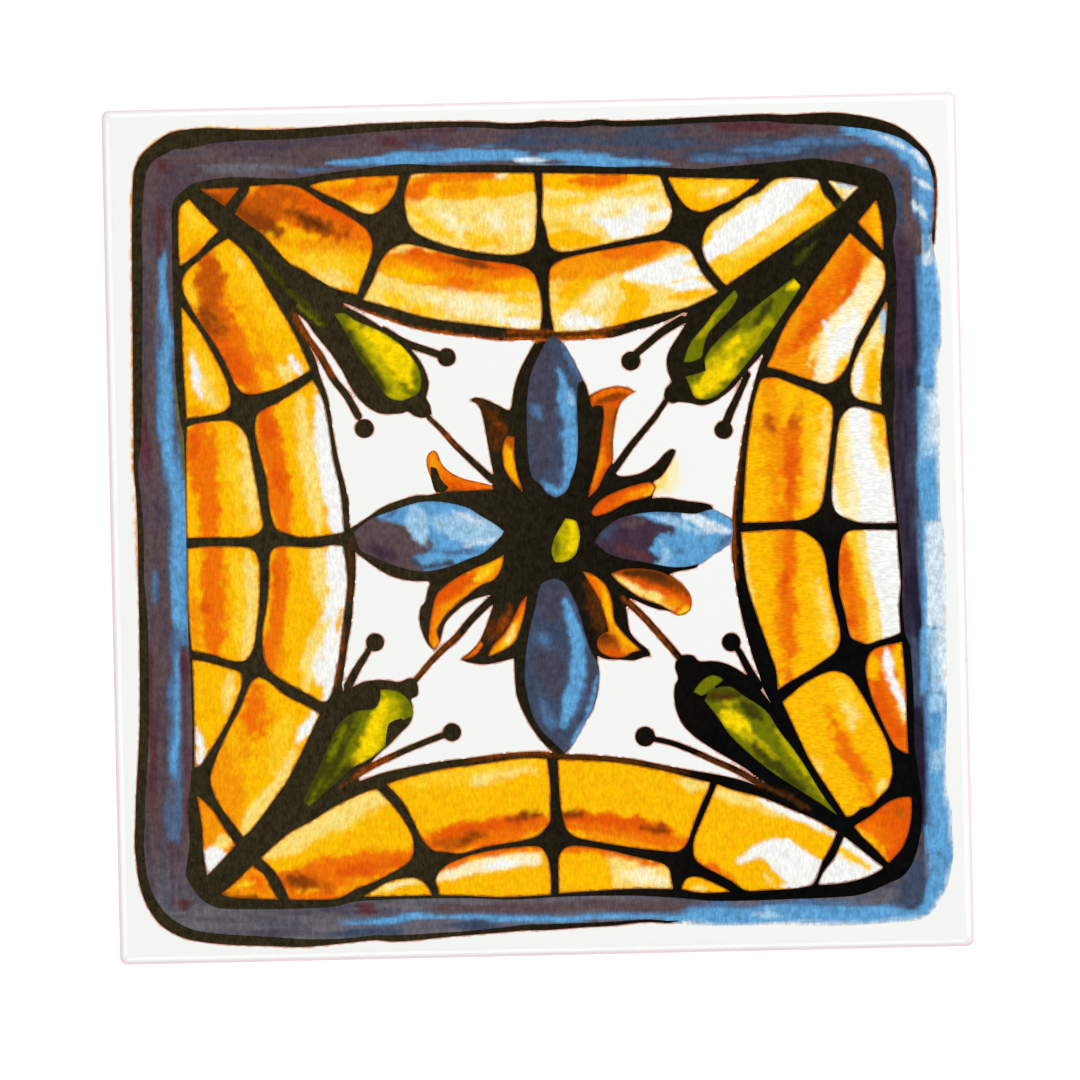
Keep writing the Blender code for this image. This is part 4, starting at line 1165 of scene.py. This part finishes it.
def wash_border(sheet, wobble, gap, width):
    """The border's slate and blue brushwork, fading out where no ink line bounds it."""
    xy = sheet.xy
    x, y = xy.T
    blue = np.tile(linear("slate"), (len(xy), 1))
    fine, broad = streaks(xy, *FINE_STREAKS), streaks(xy, *BROAD_STREAKS)
    hair = FINE_SHARE * fine + BROAD_SHARE * broad + WOBBLE_SHARE * wobble
    tint(blue, "dusk", (DUSK_BELOW - y) / DUSK_SPAN)
    height = np.clip((NAVY_HALF - np.abs(y - NAVY_MIDDLE)) / NAVY_FADE, 0, 1)
    tint(blue, "navy", np.clip((x - NAVY_LEFT) / NAVY_SPAN, 0, 1) * height)
    tint(blue, "purple", 0.15 + 0.5 * broad + 0.35 * fine)
    tint(blue, "steel", 0.4 * broad * broad + 0.35 * fine)
    dab(blue, xy, hair, BORDER_DABS)
    over = strokes(rows(BORDER_STROKES))
    under = [("mid_blue", UNDER_WIDTH * wide + UNDER_MORE, UNDER_SOFT, route)
             for name, wide, _, route in over if name in PALE]
    brush(blue, xy, hair, under + over)
    open_edge = np.where(width < 0, 1, 0)
    tint(blue, "ice", open_edge * np.clip((OPEN_HALO - gap + 0.7 * hair) / OPEN_HALO, 0, HALO_STRENGTH))
    tint(blue, "white", open_edge * (OPEN_FADE - gap + 0.3 * hair) / OPEN_FADE)
    sheet.channels["blue"] = blue


# The ink turns browner towards the left and a little towards the top: partly thinner ink, partly a painted
# reflection, the sheen of light that lies on the black there
THIN_INK_SHEEN_RIGHT, THIN_INK_SHEEN_SPAN = 20, 36
THIN_INK_SHEEN_LOW, THIN_INK_SHEEN_RISE, THIN_INK_SHEEN_TOP = -5, 30, 0.5
THIN_INK_SHEEN_BEND = 1.2


def wash_ink(sheet, wobble):
    """The ink's colour, browner to the left and top for thinner ink and a painted reflection, and the
    specks of wash on the white.
    """
    x, y = sheet.xy.T
    ink = np.tile(linear("black"), (len(sheet.xy), 1))
    # Painted reflection, with thinner ink: the ink is turned towards a brown black to the left and top,
    # where a sheen of light lies on it
    thin_ink_and_sheen = np.clip((THIN_INK_SHEEN_RIGHT - x) / THIN_INK_SHEEN_SPAN, 0, 1)
    thin_ink_and_sheen = np.maximum(thin_ink_and_sheen, np.clip((y - THIN_INK_SHEEN_LOW) / THIN_INK_SHEEN_RISE, 0, THIN_INK_SHEEN_TOP))
    tint(ink, "thin_ink_sheen", thin_ink_and_sheen**THIN_INK_SHEEN_BEND)
    brush(ink, sheet.xy, wobble, strokes(rows(INK_STROKES)))
    sheet.channels["ink"] = ink
    white = np.tile(linear("white"), (len(sheet.xy), 1))
    brush(white, sheet.xy, wobble, strokes(rows(FIELD_STROKES)))
    sheet.channels["white"] = white


def draw_face(sheet):
    """Every field and colour of the pattern, on the sheet's points."""
    wobble = lumps(sheet.xy, WOBBLE)
    draw_shapes(sheet, wobble)
    draw_ink(sheet)
    gap, width = draw_edges(sheet)
    wash_border(sheet, wobble, gap, width)
    wash_ink(sheet, wobble)


def cut_face(sheet):
    """Cuts the sheet into glaze pieces: the table, its columns and each piece's triangles."""
    table, columns = sheet.table()
    rest = sheet.triangles
    order = [
        ("marks", "outline"), ("leaves", "leaves"), ("petals", "petals"), ("buds", "buds"),
        ("flower_ink", "outline"), ("field", "white"), ("blocks_top", "blocks_top"),
        ("blocks_left", "blocks_left"), ("blocks_bottom", "blocks_bottom"),
        ("blocks_right", "blocks_right"), ("lead", "outline"), ("border_ink", "outline"),
        ("border", "border"),
    ]
    taken = {}
    for channel, piece in order:
        table, within, rest = cut(table, rest, columns[channel].start)
        taken.setdefault(piece, []).append(within)
    taken["white"].append(rest)
    return table, columns, {piece: np.vstack(parts) for piece, parts in taken.items()}


def glaze_piece(name, table, columns, triangles, colour, edge, extra=None):
    """One piece of glaze as an object, with its wash colour and its distance from the ink."""
    used, back = np.unique(triangles, return_inverse=True)
    faces = back.reshape(-1, 3)
    points = table[used]
    xyz = np.column_stack([points[:, 0], points[:, 1], np.full(len(used), TOP)])
    wash = points[:, columns[colour]]
    rim = edge(points, columns)
    quads = np.zeros((0, 4), int)
    if extra is not None:
        xyz, wash, rim, quads = extra(xyz, wash, rim)
    mesh = bpy.data.meshes.new(name)
    loops = np.concatenate([faces.ravel(), quads.ravel()]).astype(np.int32)
    starts = np.concatenate([np.arange(len(faces)) * 3, len(faces) * 3 + np.arange(len(quads)) * 4])
    mesh.vertices.add(len(xyz))
    mesh.vertices.foreach_set("co", (xyz * MM).astype(np.float32).ravel())
    mesh.loops.add(len(loops))
    mesh.loops.foreach_set("vertex_index", loops)
    mesh.polygons.add(len(starts))
    mesh.polygons.foreach_set("loop_start", starts.astype(np.int32))
    mesh.update(calc_edges=True)
    paint = mesh.color_attributes.new("wash", "FLOAT_COLOR", "POINT")
    paint.data.foreach_set("color", np.column_stack([wash, np.ones(len(wash))]).astype(np.float32).ravel())
    gap = mesh.attributes.new("rim", "FLOAT", "POINT")
    gap.data.foreach_set("value", rim.astype(np.float32))
    mesh.shade_smooth()
    piece = bpy.data.objects.new(name, mesh)
    bpy.context.scene.collection.objects.link(piece)
    return piece


def outline_point(x, y, inset):
    """Where a point of the flat's square edge lies on the tile's outline, drawn in by the inset."""
    side = HALF - inset
    radius = CORNER_RADIUS * (1 - inset / ARRIS_WIDTH) if inset < ARRIS_WIDTH else 0.0
    upright = abs(x) >= abs(y)
    along = (y if upright else x) / FLAT * side
    across = side
    straight = side - radius
    if radius > 0 and abs(along) > straight:
        turn = (abs(along) - straight) / radius * math.pi / 4
        along = math.copysign(straight + radius * math.sin(turn), along)
        across = straight + radius * math.cos(turn)
    across = math.copysign(across, x if upright else y)
    return (across, along) if upright else (along, across)


# The glaze's lower edge: inset and depth below the shoulder of its last rings, and the depths from
# which it is rose and uneven. Above that it thins from white to pink, from an inset and over a span
SKIRT = ((0.0, 0.25), (0.02, 0.45), (GLAZE_THICKNESS + 0.02, 0.5))
SKIRT_FROM = 0.1
DRIP_FROM = 0.3
PINK_FROM = 0.4
PINK_SPAN = 0.3


def arris_profile():
    """Inset and height of each ring from the flat down to the glaze's lower edge."""
    profile = []
    for step in range(1, ARRIS_STEPS + 1):
        turn = math.pi / 2 * (1 - step / ARRIS_STEPS)
        profile.append((ARRIS_WIDTH * (1 - math.cos(turn)), TOP - ARRIS_DROP * (1 - math.sin(turn))))
    return profile + [(inset, SHOULDER - depth) for inset, depth in SKIRT]


def with_cushion(xyz, wash, rim):
    """Carries the white glaze down over the cushioned edge, thinning to pink where it ends."""
    edge = np.nonzero(np.max(np.abs(xyz[:, :2]), axis=1) > FLAT - TINY)[0]
    x, y = xyz[edge, 0], xyz[edge, 1]
    low, right, high = np.isclose(y, -FLAT), np.isclose(x, FLAT), np.isclose(y, FLAT)
    travel = np.select([low, right, high], [x + FLAT, 3 * FLAT + y, 5 * FLAT - x], 7 * FLAT - y)
    ring = edge[np.argsort(travel)]
    count = len(ring)
    drip = lumps(xyz[ring, :2], DRIP)
    white, pink = linear("white"), linear("pink")
    rings, quads, washes = [ring], [], [wash]
    points = [xyz]
    total = len(xyz)
    for inset, height in arris_profile():
        place = np.array([outline_point(xyz[i, 0], xyz[i, 1], inset) for i in ring])
        fall = drip if height < SHOULDER - DRIP_FROM else 0.0
        points.append(np.column_stack([place, np.full(count, height) + fall]))
        colour = white + (pink - white) * np.clip((PINK_FROM - inset) / PINK_SPAN, 0, 1)
        if height < SHOULDER - SKIRT_FROM:
            colour = linear("rose")
        washes.append(np.tile(colour, (count, 1)))
        new = total + np.arange(count)
        quads.append(np.column_stack([rings[-1], new, np.roll(new, -1), np.roll(rings[-1], -1)]))
        rings.append(new)
        total += count
    rim = np.concatenate([rim, np.full(total - len(xyz), 1.0)])
    return np.vstack(points), np.vstack(washes), rim, np.vstack(quads)


def inner(name):
    """A measure of the distance into a piece from its own outline."""
    def measure(points, columns):
        """That distance at each point."""
        return np.clip(-points[:, columns[name].start], 0, 1)
    return measure


def white_rim(points, columns):
    """Distance of the white glaze from the nearest ink, in the field or in the margin."""
    flower = points[:, columns["flower_ink"].start]
    field = -points[:, columns["field"].start]
    margin = points[:, columns["border_ink"].start]
    gap = np.where(field >= -TINY, np.minimum(field, flower), margin)
    return np.clip(gap, 0, 1)


def no_rim(points, columns):
    """No burnt edge anywhere."""
    return np.ones(len(points))


class Nodes:
    """Short calls for a material's node tree."""

    def __init__(self, name):
        self.material = bpy.data.materials.new(name)
        self.material.use_nodes = True
        self.tree = self.material.node_tree
        self.shader = self.tree.nodes["Principled BSDF"]
        self.place = self.add("ShaderNodeTexCoord").outputs["Object"]

    def add(self, kind, **settings):
        """A new node with those settings."""
        node = self.tree.nodes.new(kind)
        for key, value in settings.items():
            setattr(node, key, value)
        return node

    def feed(self, socket, value):
        """Sets the socket to a plain value, or links it to another node's output."""
        if isinstance(value, (int, float, tuple)):
            socket.default_value = value
        else:
            self.tree.links.new(value, socket)

    def noise(self, size, detail=2.0, stretch=(1, 1, 1), rough=0.5):
        """Noise with lumps of that size in millimetres, stretched along an axis."""
        mapping = self.add("ShaderNodeMapping")
        mapping.inputs["Scale"].default_value = [1 / (size * MM * factor) for factor in stretch]
        self.feed(mapping.inputs["Vector"], self.place)
        texture = self.add("ShaderNodeTexNoise")
        self.feed(texture.inputs["Scale"], 1.0)
        self.feed(texture.inputs["Detail"], float(detail))
        self.feed(texture.inputs["Roughness"], rough)
        self.feed(texture.inputs["Vector"], mapping.outputs["Vector"])
        return texture.outputs["Fac"]

    def range(self, value, shows, gives):
        """The value eased from the range that shows to the range that it gives."""
        node = self.add("ShaderNodeMapRange", interpolation_type="SMOOTHSTEP")
        names = ("Value", "From Min", "From Max", "To Min", "To Max")
        for name, source in zip(names, (value, *shows, *gives)):
            self.feed(node.inputs[name], source)
        return node.outputs["Result"]

    def patches(self, size, shows, gives, **settings):
        """Noise of that size, eased as above."""
        return self.range(self.noise(size, **settings), shows, gives)

    def relief(self, size, strength, depth, **settings):
        """A bump from noise of that size, with its depth in millimetres."""
        bump = self.add("ShaderNodeBump")
        self.feed(bump.inputs["Strength"], strength)
        self.feed(bump.inputs["Distance"], depth * MM)
        self.feed(bump.inputs["Height"], self.noise(size, **settings))
        self.feed(self.shader.inputs["Normal"], bump.outputs["Normal"])

    def math(self, operation, a, b):
        """Two values joined by a sum, a product or the like."""
        node = self.add("ShaderNodeMath", operation=operation)
        self.feed(node.inputs[0], a)
        self.feed(node.inputs[1], b)
        return node.outputs[0]

    def mix(self, factor, a, b, blend="MIX"):
        """Two colours blended by a factor."""
        node = self.add("ShaderNodeMix", data_type="RGBA", blend_type=blend)
        for number, value in ((0, factor), (6, a), (7, b)):
            self.feed(node.inputs[number], value)
        return node.outputs[2]

    def attribute(self, name, output):
        """What the mesh's points carry under that name."""
        return self.add("ShaderNodeAttribute", attribute_name=name).outputs[output]


def rgba(name):
    """The named paint as a socket's colour."""
    return tuple(linear(name)) + (1.0,)


def glaze(name, grain=0.06, along=(1, 3, 1), fringe="rust", fringe_amount=0.6, fringe_width=0.16, glow=0.0,
          mottle=0.2, shade="brown", shield=False, peel=0.3, rough=0.16):
    """A fired glaze: the painted wash with its grain, mottling, burnt edge and orange-peel surface."""
    n = Nodes(name)
    wash = n.attribute("wash", "Color")
    gap = n.attribute("rim", "Fac")
    cloud = n.patches(size=0.9, detail=5, rough=0.7, shows=(0.4, 0.66), gives=(0, mottle))
    if glow:
        cloud = n.math("ADD", cloud, n.range(gap, shows=(0, 0.7), gives=(glow, 0)))
    if shield:
        # White strokes stay clean, so the shade comes in only where the wash has little blue.
        parts = n.add("ShaderNodeSeparateColor")
        n.feed(parts.inputs["Color"], wash)
        cloud = n.math("MULTIPLY", cloud, n.range(parts.outputs["Blue"], shows=(0.25, 0.7), gives=(1, 0.1)))
    colour = n.mix(cloud, wash, rgba(shade), "MULTIPLY")
    pale = n.patches(size=0.6, detail=4, rough=0.7, shows=(0.5, 0.72), gives=(0, mottle * 0.7))
    colour = n.mix(pale, colour, (1, 1, 1, 1), "SOFT_LIGHT")
    scaled = n.add("ShaderNodeVectorMath", operation="SCALE")
    n.feed(scaled.inputs[0], colour)
    n.feed(scaled.inputs["Scale"],
           n.patches(size=0.22, stretch=along, shows=(0.35, 0.65), gives=(1 - grain, 1 + grain)))
    uneven = n.math("MULTIPLY", n.noise(0.8), fringe_width * 2)
    burnt = n.math("SUBTRACT", uneven, gap)
    burnt = n.range(burnt, shows=(-0.05, fringe_width * 0.7), gives=(0, fringe_amount))
    n.feed(n.shader.inputs["Base Color"], n.mix(burnt, scaled.outputs[0], rgba(fringe)))
    gloss = n.patches(size=0.7, detail=3, shows=(0.3, 0.7), gives=(rough - 0.03, rough + 0.05))
    n.feed(n.shader.inputs["Roughness"], gloss)
    n.relief(size=0.5, strength=peel, depth=0.05)
    return n.material


# The clay: its colours, as the shader takes them, its roughness and its sheen
CLAY_DARK = (0.66, 0.46, 0.37, 1)
CLAY_LIGHT = (0.74, 0.56, 0.47, 1)
CLAY_SPECK = (0.4, 0.24, 0.17, 1)
KILN_DUST = (0.86, 0.78, 0.71, 1)
CLAY_ROUGH = 0.86
CLAY_SHEEN = 0.25


def bisque():
    """Unglazed clay: pale pink, with fine grains, kiln dust and a rough tooth."""
    n = Nodes("bisque_clay")
    ground = n.mix(n.patches(size=9, detail=4, shows=(0.35, 0.65), gives=(0, 1)), CLAY_DARK, CLAY_LIGHT)
    ground = n.mix(n.patches(size=0.35, shows=(0.62, 0.72), gives=(0, 0.6)), ground, CLAY_SPECK)
    dust = n.patches(size=2.2, detail=5, rough=0.7, shows=(0.5, 0.72), gives=(0, 0.45))
    n.feed(n.shader.inputs["Base Color"], n.mix(dust, ground, KILN_DUST))
    n.feed(n.shader.inputs["Roughness"], CLAY_ROUGH)
    n.feed(n.shader.inputs["Specular IOR Level"], CLAY_SHEEN)
    n.relief(size=0.4, detail=4, rough=0.65, strength=0.5, depth=0.08)
    return n.material


def made(name, shape, unit):
    """An object from a drawn shape, whose unit is that many metres."""
    bmesh.ops.scale(shape, vec=Vector((unit, unit, unit)), verts=shape.verts)
    mesh = bpy.data.meshes.new(name)
    shape.to_mesh(mesh)
    shape.free()
    piece = bpy.data.objects.new(name, mesh)
    bpy.context.scene.collection.objects.link(piece)
    return piece


# The clay under the glaze: steps round a corner and over the shoulder, its corner's radius, how
# far its top stays under the face, its softened edges, and how far the bars that cut its grooves
# reach below it
CORNER_STEPS = 5
SHOULDER_STEPS = 5
CLAY_CORNER = CORNER_RADIUS * 0.9
CLAY_SUNK = 0.2
SOFT_EDGE = 0.12
SHARP_FROM = math.radians(32)
SOFTEN_FROM = math.radians(40)
SOFT_SEGMENTS = 2
BAR_BELOW = 1.0


def body_ring(shape, inset, height, radius):
    """A ring of the body's rounded outline at that inset and height."""
    centre = HALF - inset - radius
    verts = []
    for corner in range(4):
        turn = corner * math.pi / 2
        for step in range(CORNER_STEPS + 1):
            angle = turn + step / CORNER_STEPS * math.pi / 2
            x = math.copysign(centre, math.cos(turn + math.pi / 4)) + radius * math.cos(angle)
            y = math.copysign(centre, math.sin(turn + math.pi / 4)) + radius * math.sin(angle)
            verts.append(shape.verts.new((x, y, height)))
    return verts


def clay_shape():
    """The blank without its grooves: tapered foot, straight sides and rounded shoulder."""
    rings = [(TAPER_INSET + GLAZE_THICKNESS, 0.0), (GLAZE_THICKNESS, TAPER_HEIGHT),
             (GLAZE_THICKNESS, SHOULDER)]
    for step in range(1, SHOULDER_STEPS + 1):
        turn = math.pi / 2 * step / SHOULDER_STEPS
        rings.append((GLAZE_THICKNESS + ARRIS_WIDTH * (1 - math.cos(turn)),
                      SHOULDER + (ARRIS_DROP - CLAY_SUNK) * math.sin(turn)))
    shape = bmesh.new()
    loops = [body_ring(shape, inset, height, CLAY_CORNER) for inset, height in rings]
    for low, high in zip(loops, loops[1:]):
        for i in range(len(low)):
            j = (i + 1) % len(low)
            shape.faces.new((low[i], low[j], high[j], high[i]))
    shape.faces.new(list(reversed(loops[0])))
    shape.faces.new(loops[-1])
    return shape


def groove_bars():
    """Bars with leaning sides that cut the keying grooves out of the back."""
    bars = bmesh.new()
    for row in range(GROOVE_COUNT):
        middle = GROOVE_PITCH * (row - (GROOVE_COUNT - 1) / 2)
        for vert in bmesh.ops.create_cube(bars, size=1.0)["verts"]:
            height = GROOVE_DEPTH if vert.co.z > 0 else -BAR_BELOW
            lean = GROOVE_DRAFT * height / GROOVE_DEPTH
            vert.co.x = math.copysign(GROOVE_LENGTH / 2 - lean, vert.co.x)
            vert.co.y = middle + math.copysign(GROOVE_WIDTH / 2 - lean, vert.co.y)
            vert.co.z = height
    return bars


def tile_body():
    """The clay under the glaze, with its keyed back and softened edges."""
    body = made("tile_body", clay_shape(), MM)
    cutter = made("groove_cutter", groove_bars(), MM)
    keying = body.modifiers.new("keying_grooves", "BOOLEAN")
    keying.operation = "DIFFERENCE"
    keying.solver = "EXACT"
    keying.object = cutter
    depsgraph = bpy.context.evaluated_depsgraph_get()
    final = bpy.data.meshes.new_from_object(body.evaluated_get(depsgraph))
    body.modifiers.clear()
    body.data = final
    bpy.data.objects.remove(cutter)
    final.shade_smooth()
    final.set_sharp_from_angle(angle=SHARP_FROM)
    soften = body.modifiers.new("soft_edges", "BEVEL")
    soften.width = SOFT_EDGE * MM
    soften.segments = SOFT_SEGMENTS
    soften.limit_method = "ANGLE"
    soften.angle_limit = SOFTEN_FROM
    return body


def add_to_frame(piece, material):
    """Gives the piece its material and the body that carries it."""
    piece.data.materials.clear()
    piece.data.materials.append(material)
    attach(piece, "root")


def glaze_face():
    """Draws the pattern, cuts it into pieces and gives each its glaze."""
    sheet = Sheet()
    draw_face(sheet)
    table, columns, taken = cut_face(sheet)

    burnt = {"fringe": "brown", "fringe_amount": 0.8, "fringe_width": 0.2, "glow": 0.35, "mottle": 0.45,
             "shade": "straw", "shield": True}
    ochre = glaze("ochre_glaze", grain=0.09, **burnt)
    across = glaze("ochre_glaze_across", grain=0.09, along=(3, 1, 1), **burnt)
    blue = glaze("blue_glaze", grain=0.12, fringe="purple", fringe_amount=0.3, mottle=0.3, shade="slate")
    green = glaze("green_glaze", grain=0.08, along=(2, 2, 1), fringe="moss", fringe_amount=0.5, mottle=0.3,
                  shade="olive", shield=True)
    black = glaze("ink_glaze", grain=0.25, fringe="ink", fringe_amount=0.0, mottle=0.45, shade="ink",
                  peel=0.8, rough=0.15)
    white = glaze("white_glaze_face", grain=0.006, along=(1, 1, 1), fringe="rust", fringe_amount=0.75,
                  fringe_width=0.15, mottle=0.02, shade="ice")

    pieces = [
        ("white", "white", white_rim, white, "white_glaze", with_cushion),
        ("outline", "ink", no_rim, black, "black_outline", None),
        ("border", "blue", no_rim, blue, "blue_wash", None),
        ("blocks_top", "ochre", inner("blocks_top"), ochre, "ochre_wash", None),
        ("blocks_left", "ochre", inner("blocks_left"), ochre, "ochre_wash", None),
        ("blocks_bottom", "ochre", inner("blocks_bottom"), ochre, "ochre_wash", None),
        ("blocks_right", "ochre", inner("blocks_right"), across, "ochre_wash", None),
        ("petals", "petal", inner("petals"), blue, "blue_wash", None),
        ("leaves", "leaf", inner("leaves"), ochre, "ochre_wash", None),
        ("buds", "bud", inner("buds"), green, "green_wash", None),
    ]
    for key, colour, rim, material, slot, extra in pieces:
        piece = glaze_piece("glaze_" + key, table, columns, taken[key], colour, rim, extra)
        add_to_frame(piece, material)


# The photograph's framing: what the frame spans at the face, the roll, how far the tile's middle is
# off the frame's, the lens, and how near and far the camera sees
VIEW_ACROSS = 126.17 * MM
VIEW_ROLL = math.radians(-1.27)
TILE_RIGHT = -0.257 * MM
TILE_UP = 1.367 * MM
LENS = 150.0
SENSOR = 36.0
CLIP = (0.01, 10.0)


def add_camera():
    """Looks straight down on the face, framed and rolled as the photograph is."""
    data = bpy.data.cameras.new("camera")
    data.lens = LENS
    data.sensor_width = SENSOR
    data.clip_start, data.clip_end = CLIP
    camera = bpy.data.objects.new("camera", data)
    turn = Matrix.Rotation(VIEW_ROLL, 4, "Z")
    height = TOP * MM + VIEW_ACROSS / 2 / (SENSOR / 2 / LENS)
    camera.matrix_world = turn @ Matrix.Translation((-TILE_RIGHT, -TILE_UP, height))
    bpy.context.scene.collection.objects.link(camera)
    bpy.context.scene.camera = camera


# The studio in metres: soft boxes with their place, size and power, and the floor
SOFT_BOXES = {
    "soft_box_top": ((0.15, 0.62, 0.55), (0.6, 0.45), 3.25),
    "soft_box_right": ((0.62, 0.1, 0.55), (0.45, 0.6), 3.25),
    "soft_box_bottom": ((-0.1, -0.62, 0.55), (0.6, 0.45), 2.6),
    "soft_box_left": ((-0.62, -0.05, 0.6), (0.45, 0.6), 2.6),
}
FLOOR_HALF = 1.6
FLOOR_CELLS = 8
FLOOR_BELOW = 0.0004
FLOOR_GREY = 0.9
FLOOR_ROUGH = 0.9
FLOOR_GLOW = 0.45
FILL = 0.04


def add_light(name, place, size, power):
    """A soft box that faces the tile."""
    data = bpy.data.lights.new(name, "AREA")
    data.shape = "RECTANGLE"
    data.size, data.size_y = size
    data.energy = power
    light = bpy.data.objects.new(name, data)
    aim = (Vector((0, 0, 0)) - Vector(place)).to_track_quat("-Z", "Y")
    light.matrix_world = Matrix.Translation(place) @ aim.to_matrix().to_4x4()
    bpy.context.scene.collection.objects.link(light)


def add_studio():
    """A pale floor, four soft boxes round the tile and a faint fill."""
    shape = bmesh.new()
    bmesh.ops.create_grid(shape, x_segments=FLOOR_CELLS, y_segments=FLOOR_CELLS, size=FLOOR_HALF)
    floor = made("floor", shape, 1)
    floor.location.z = -FLOOR_BELOW
    material = bpy.data.materials.new("floor_paper")
    material.use_nodes = True
    shader = material.node_tree.nodes["Principled BSDF"]
    shader.inputs["Base Color"].default_value = (FLOOR_GREY, FLOOR_GREY, FLOOR_GREY, 1)
    shader.inputs["Roughness"].default_value = FLOOR_ROUGH
    shader.inputs["Emission Color"].default_value = (1, 1, 1, 1)
    shader.inputs["Emission Strength"].default_value = FLOOR_GLOW
    floor.data.materials.append(material)
    for name, (place, size, power) in SOFT_BOXES.items():
        add_light(name, place, size, power)
    world = bpy.data.worlds.new("studio")
    world.use_nodes = True
    backdrop = world.node_tree.nodes["Background"]
    backdrop.inputs["Color"].default_value = (1, 1, 1, 1)
    backdrop.inputs["Strength"].default_value = FILL
    bpy.context.scene.world = world
    bpy.context.scene.view_settings.view_transform = "Standard"


add_camera()
body = tile_body()
add_to_frame(body, bisque())
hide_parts("tile")
glaze_face()
add_studio()
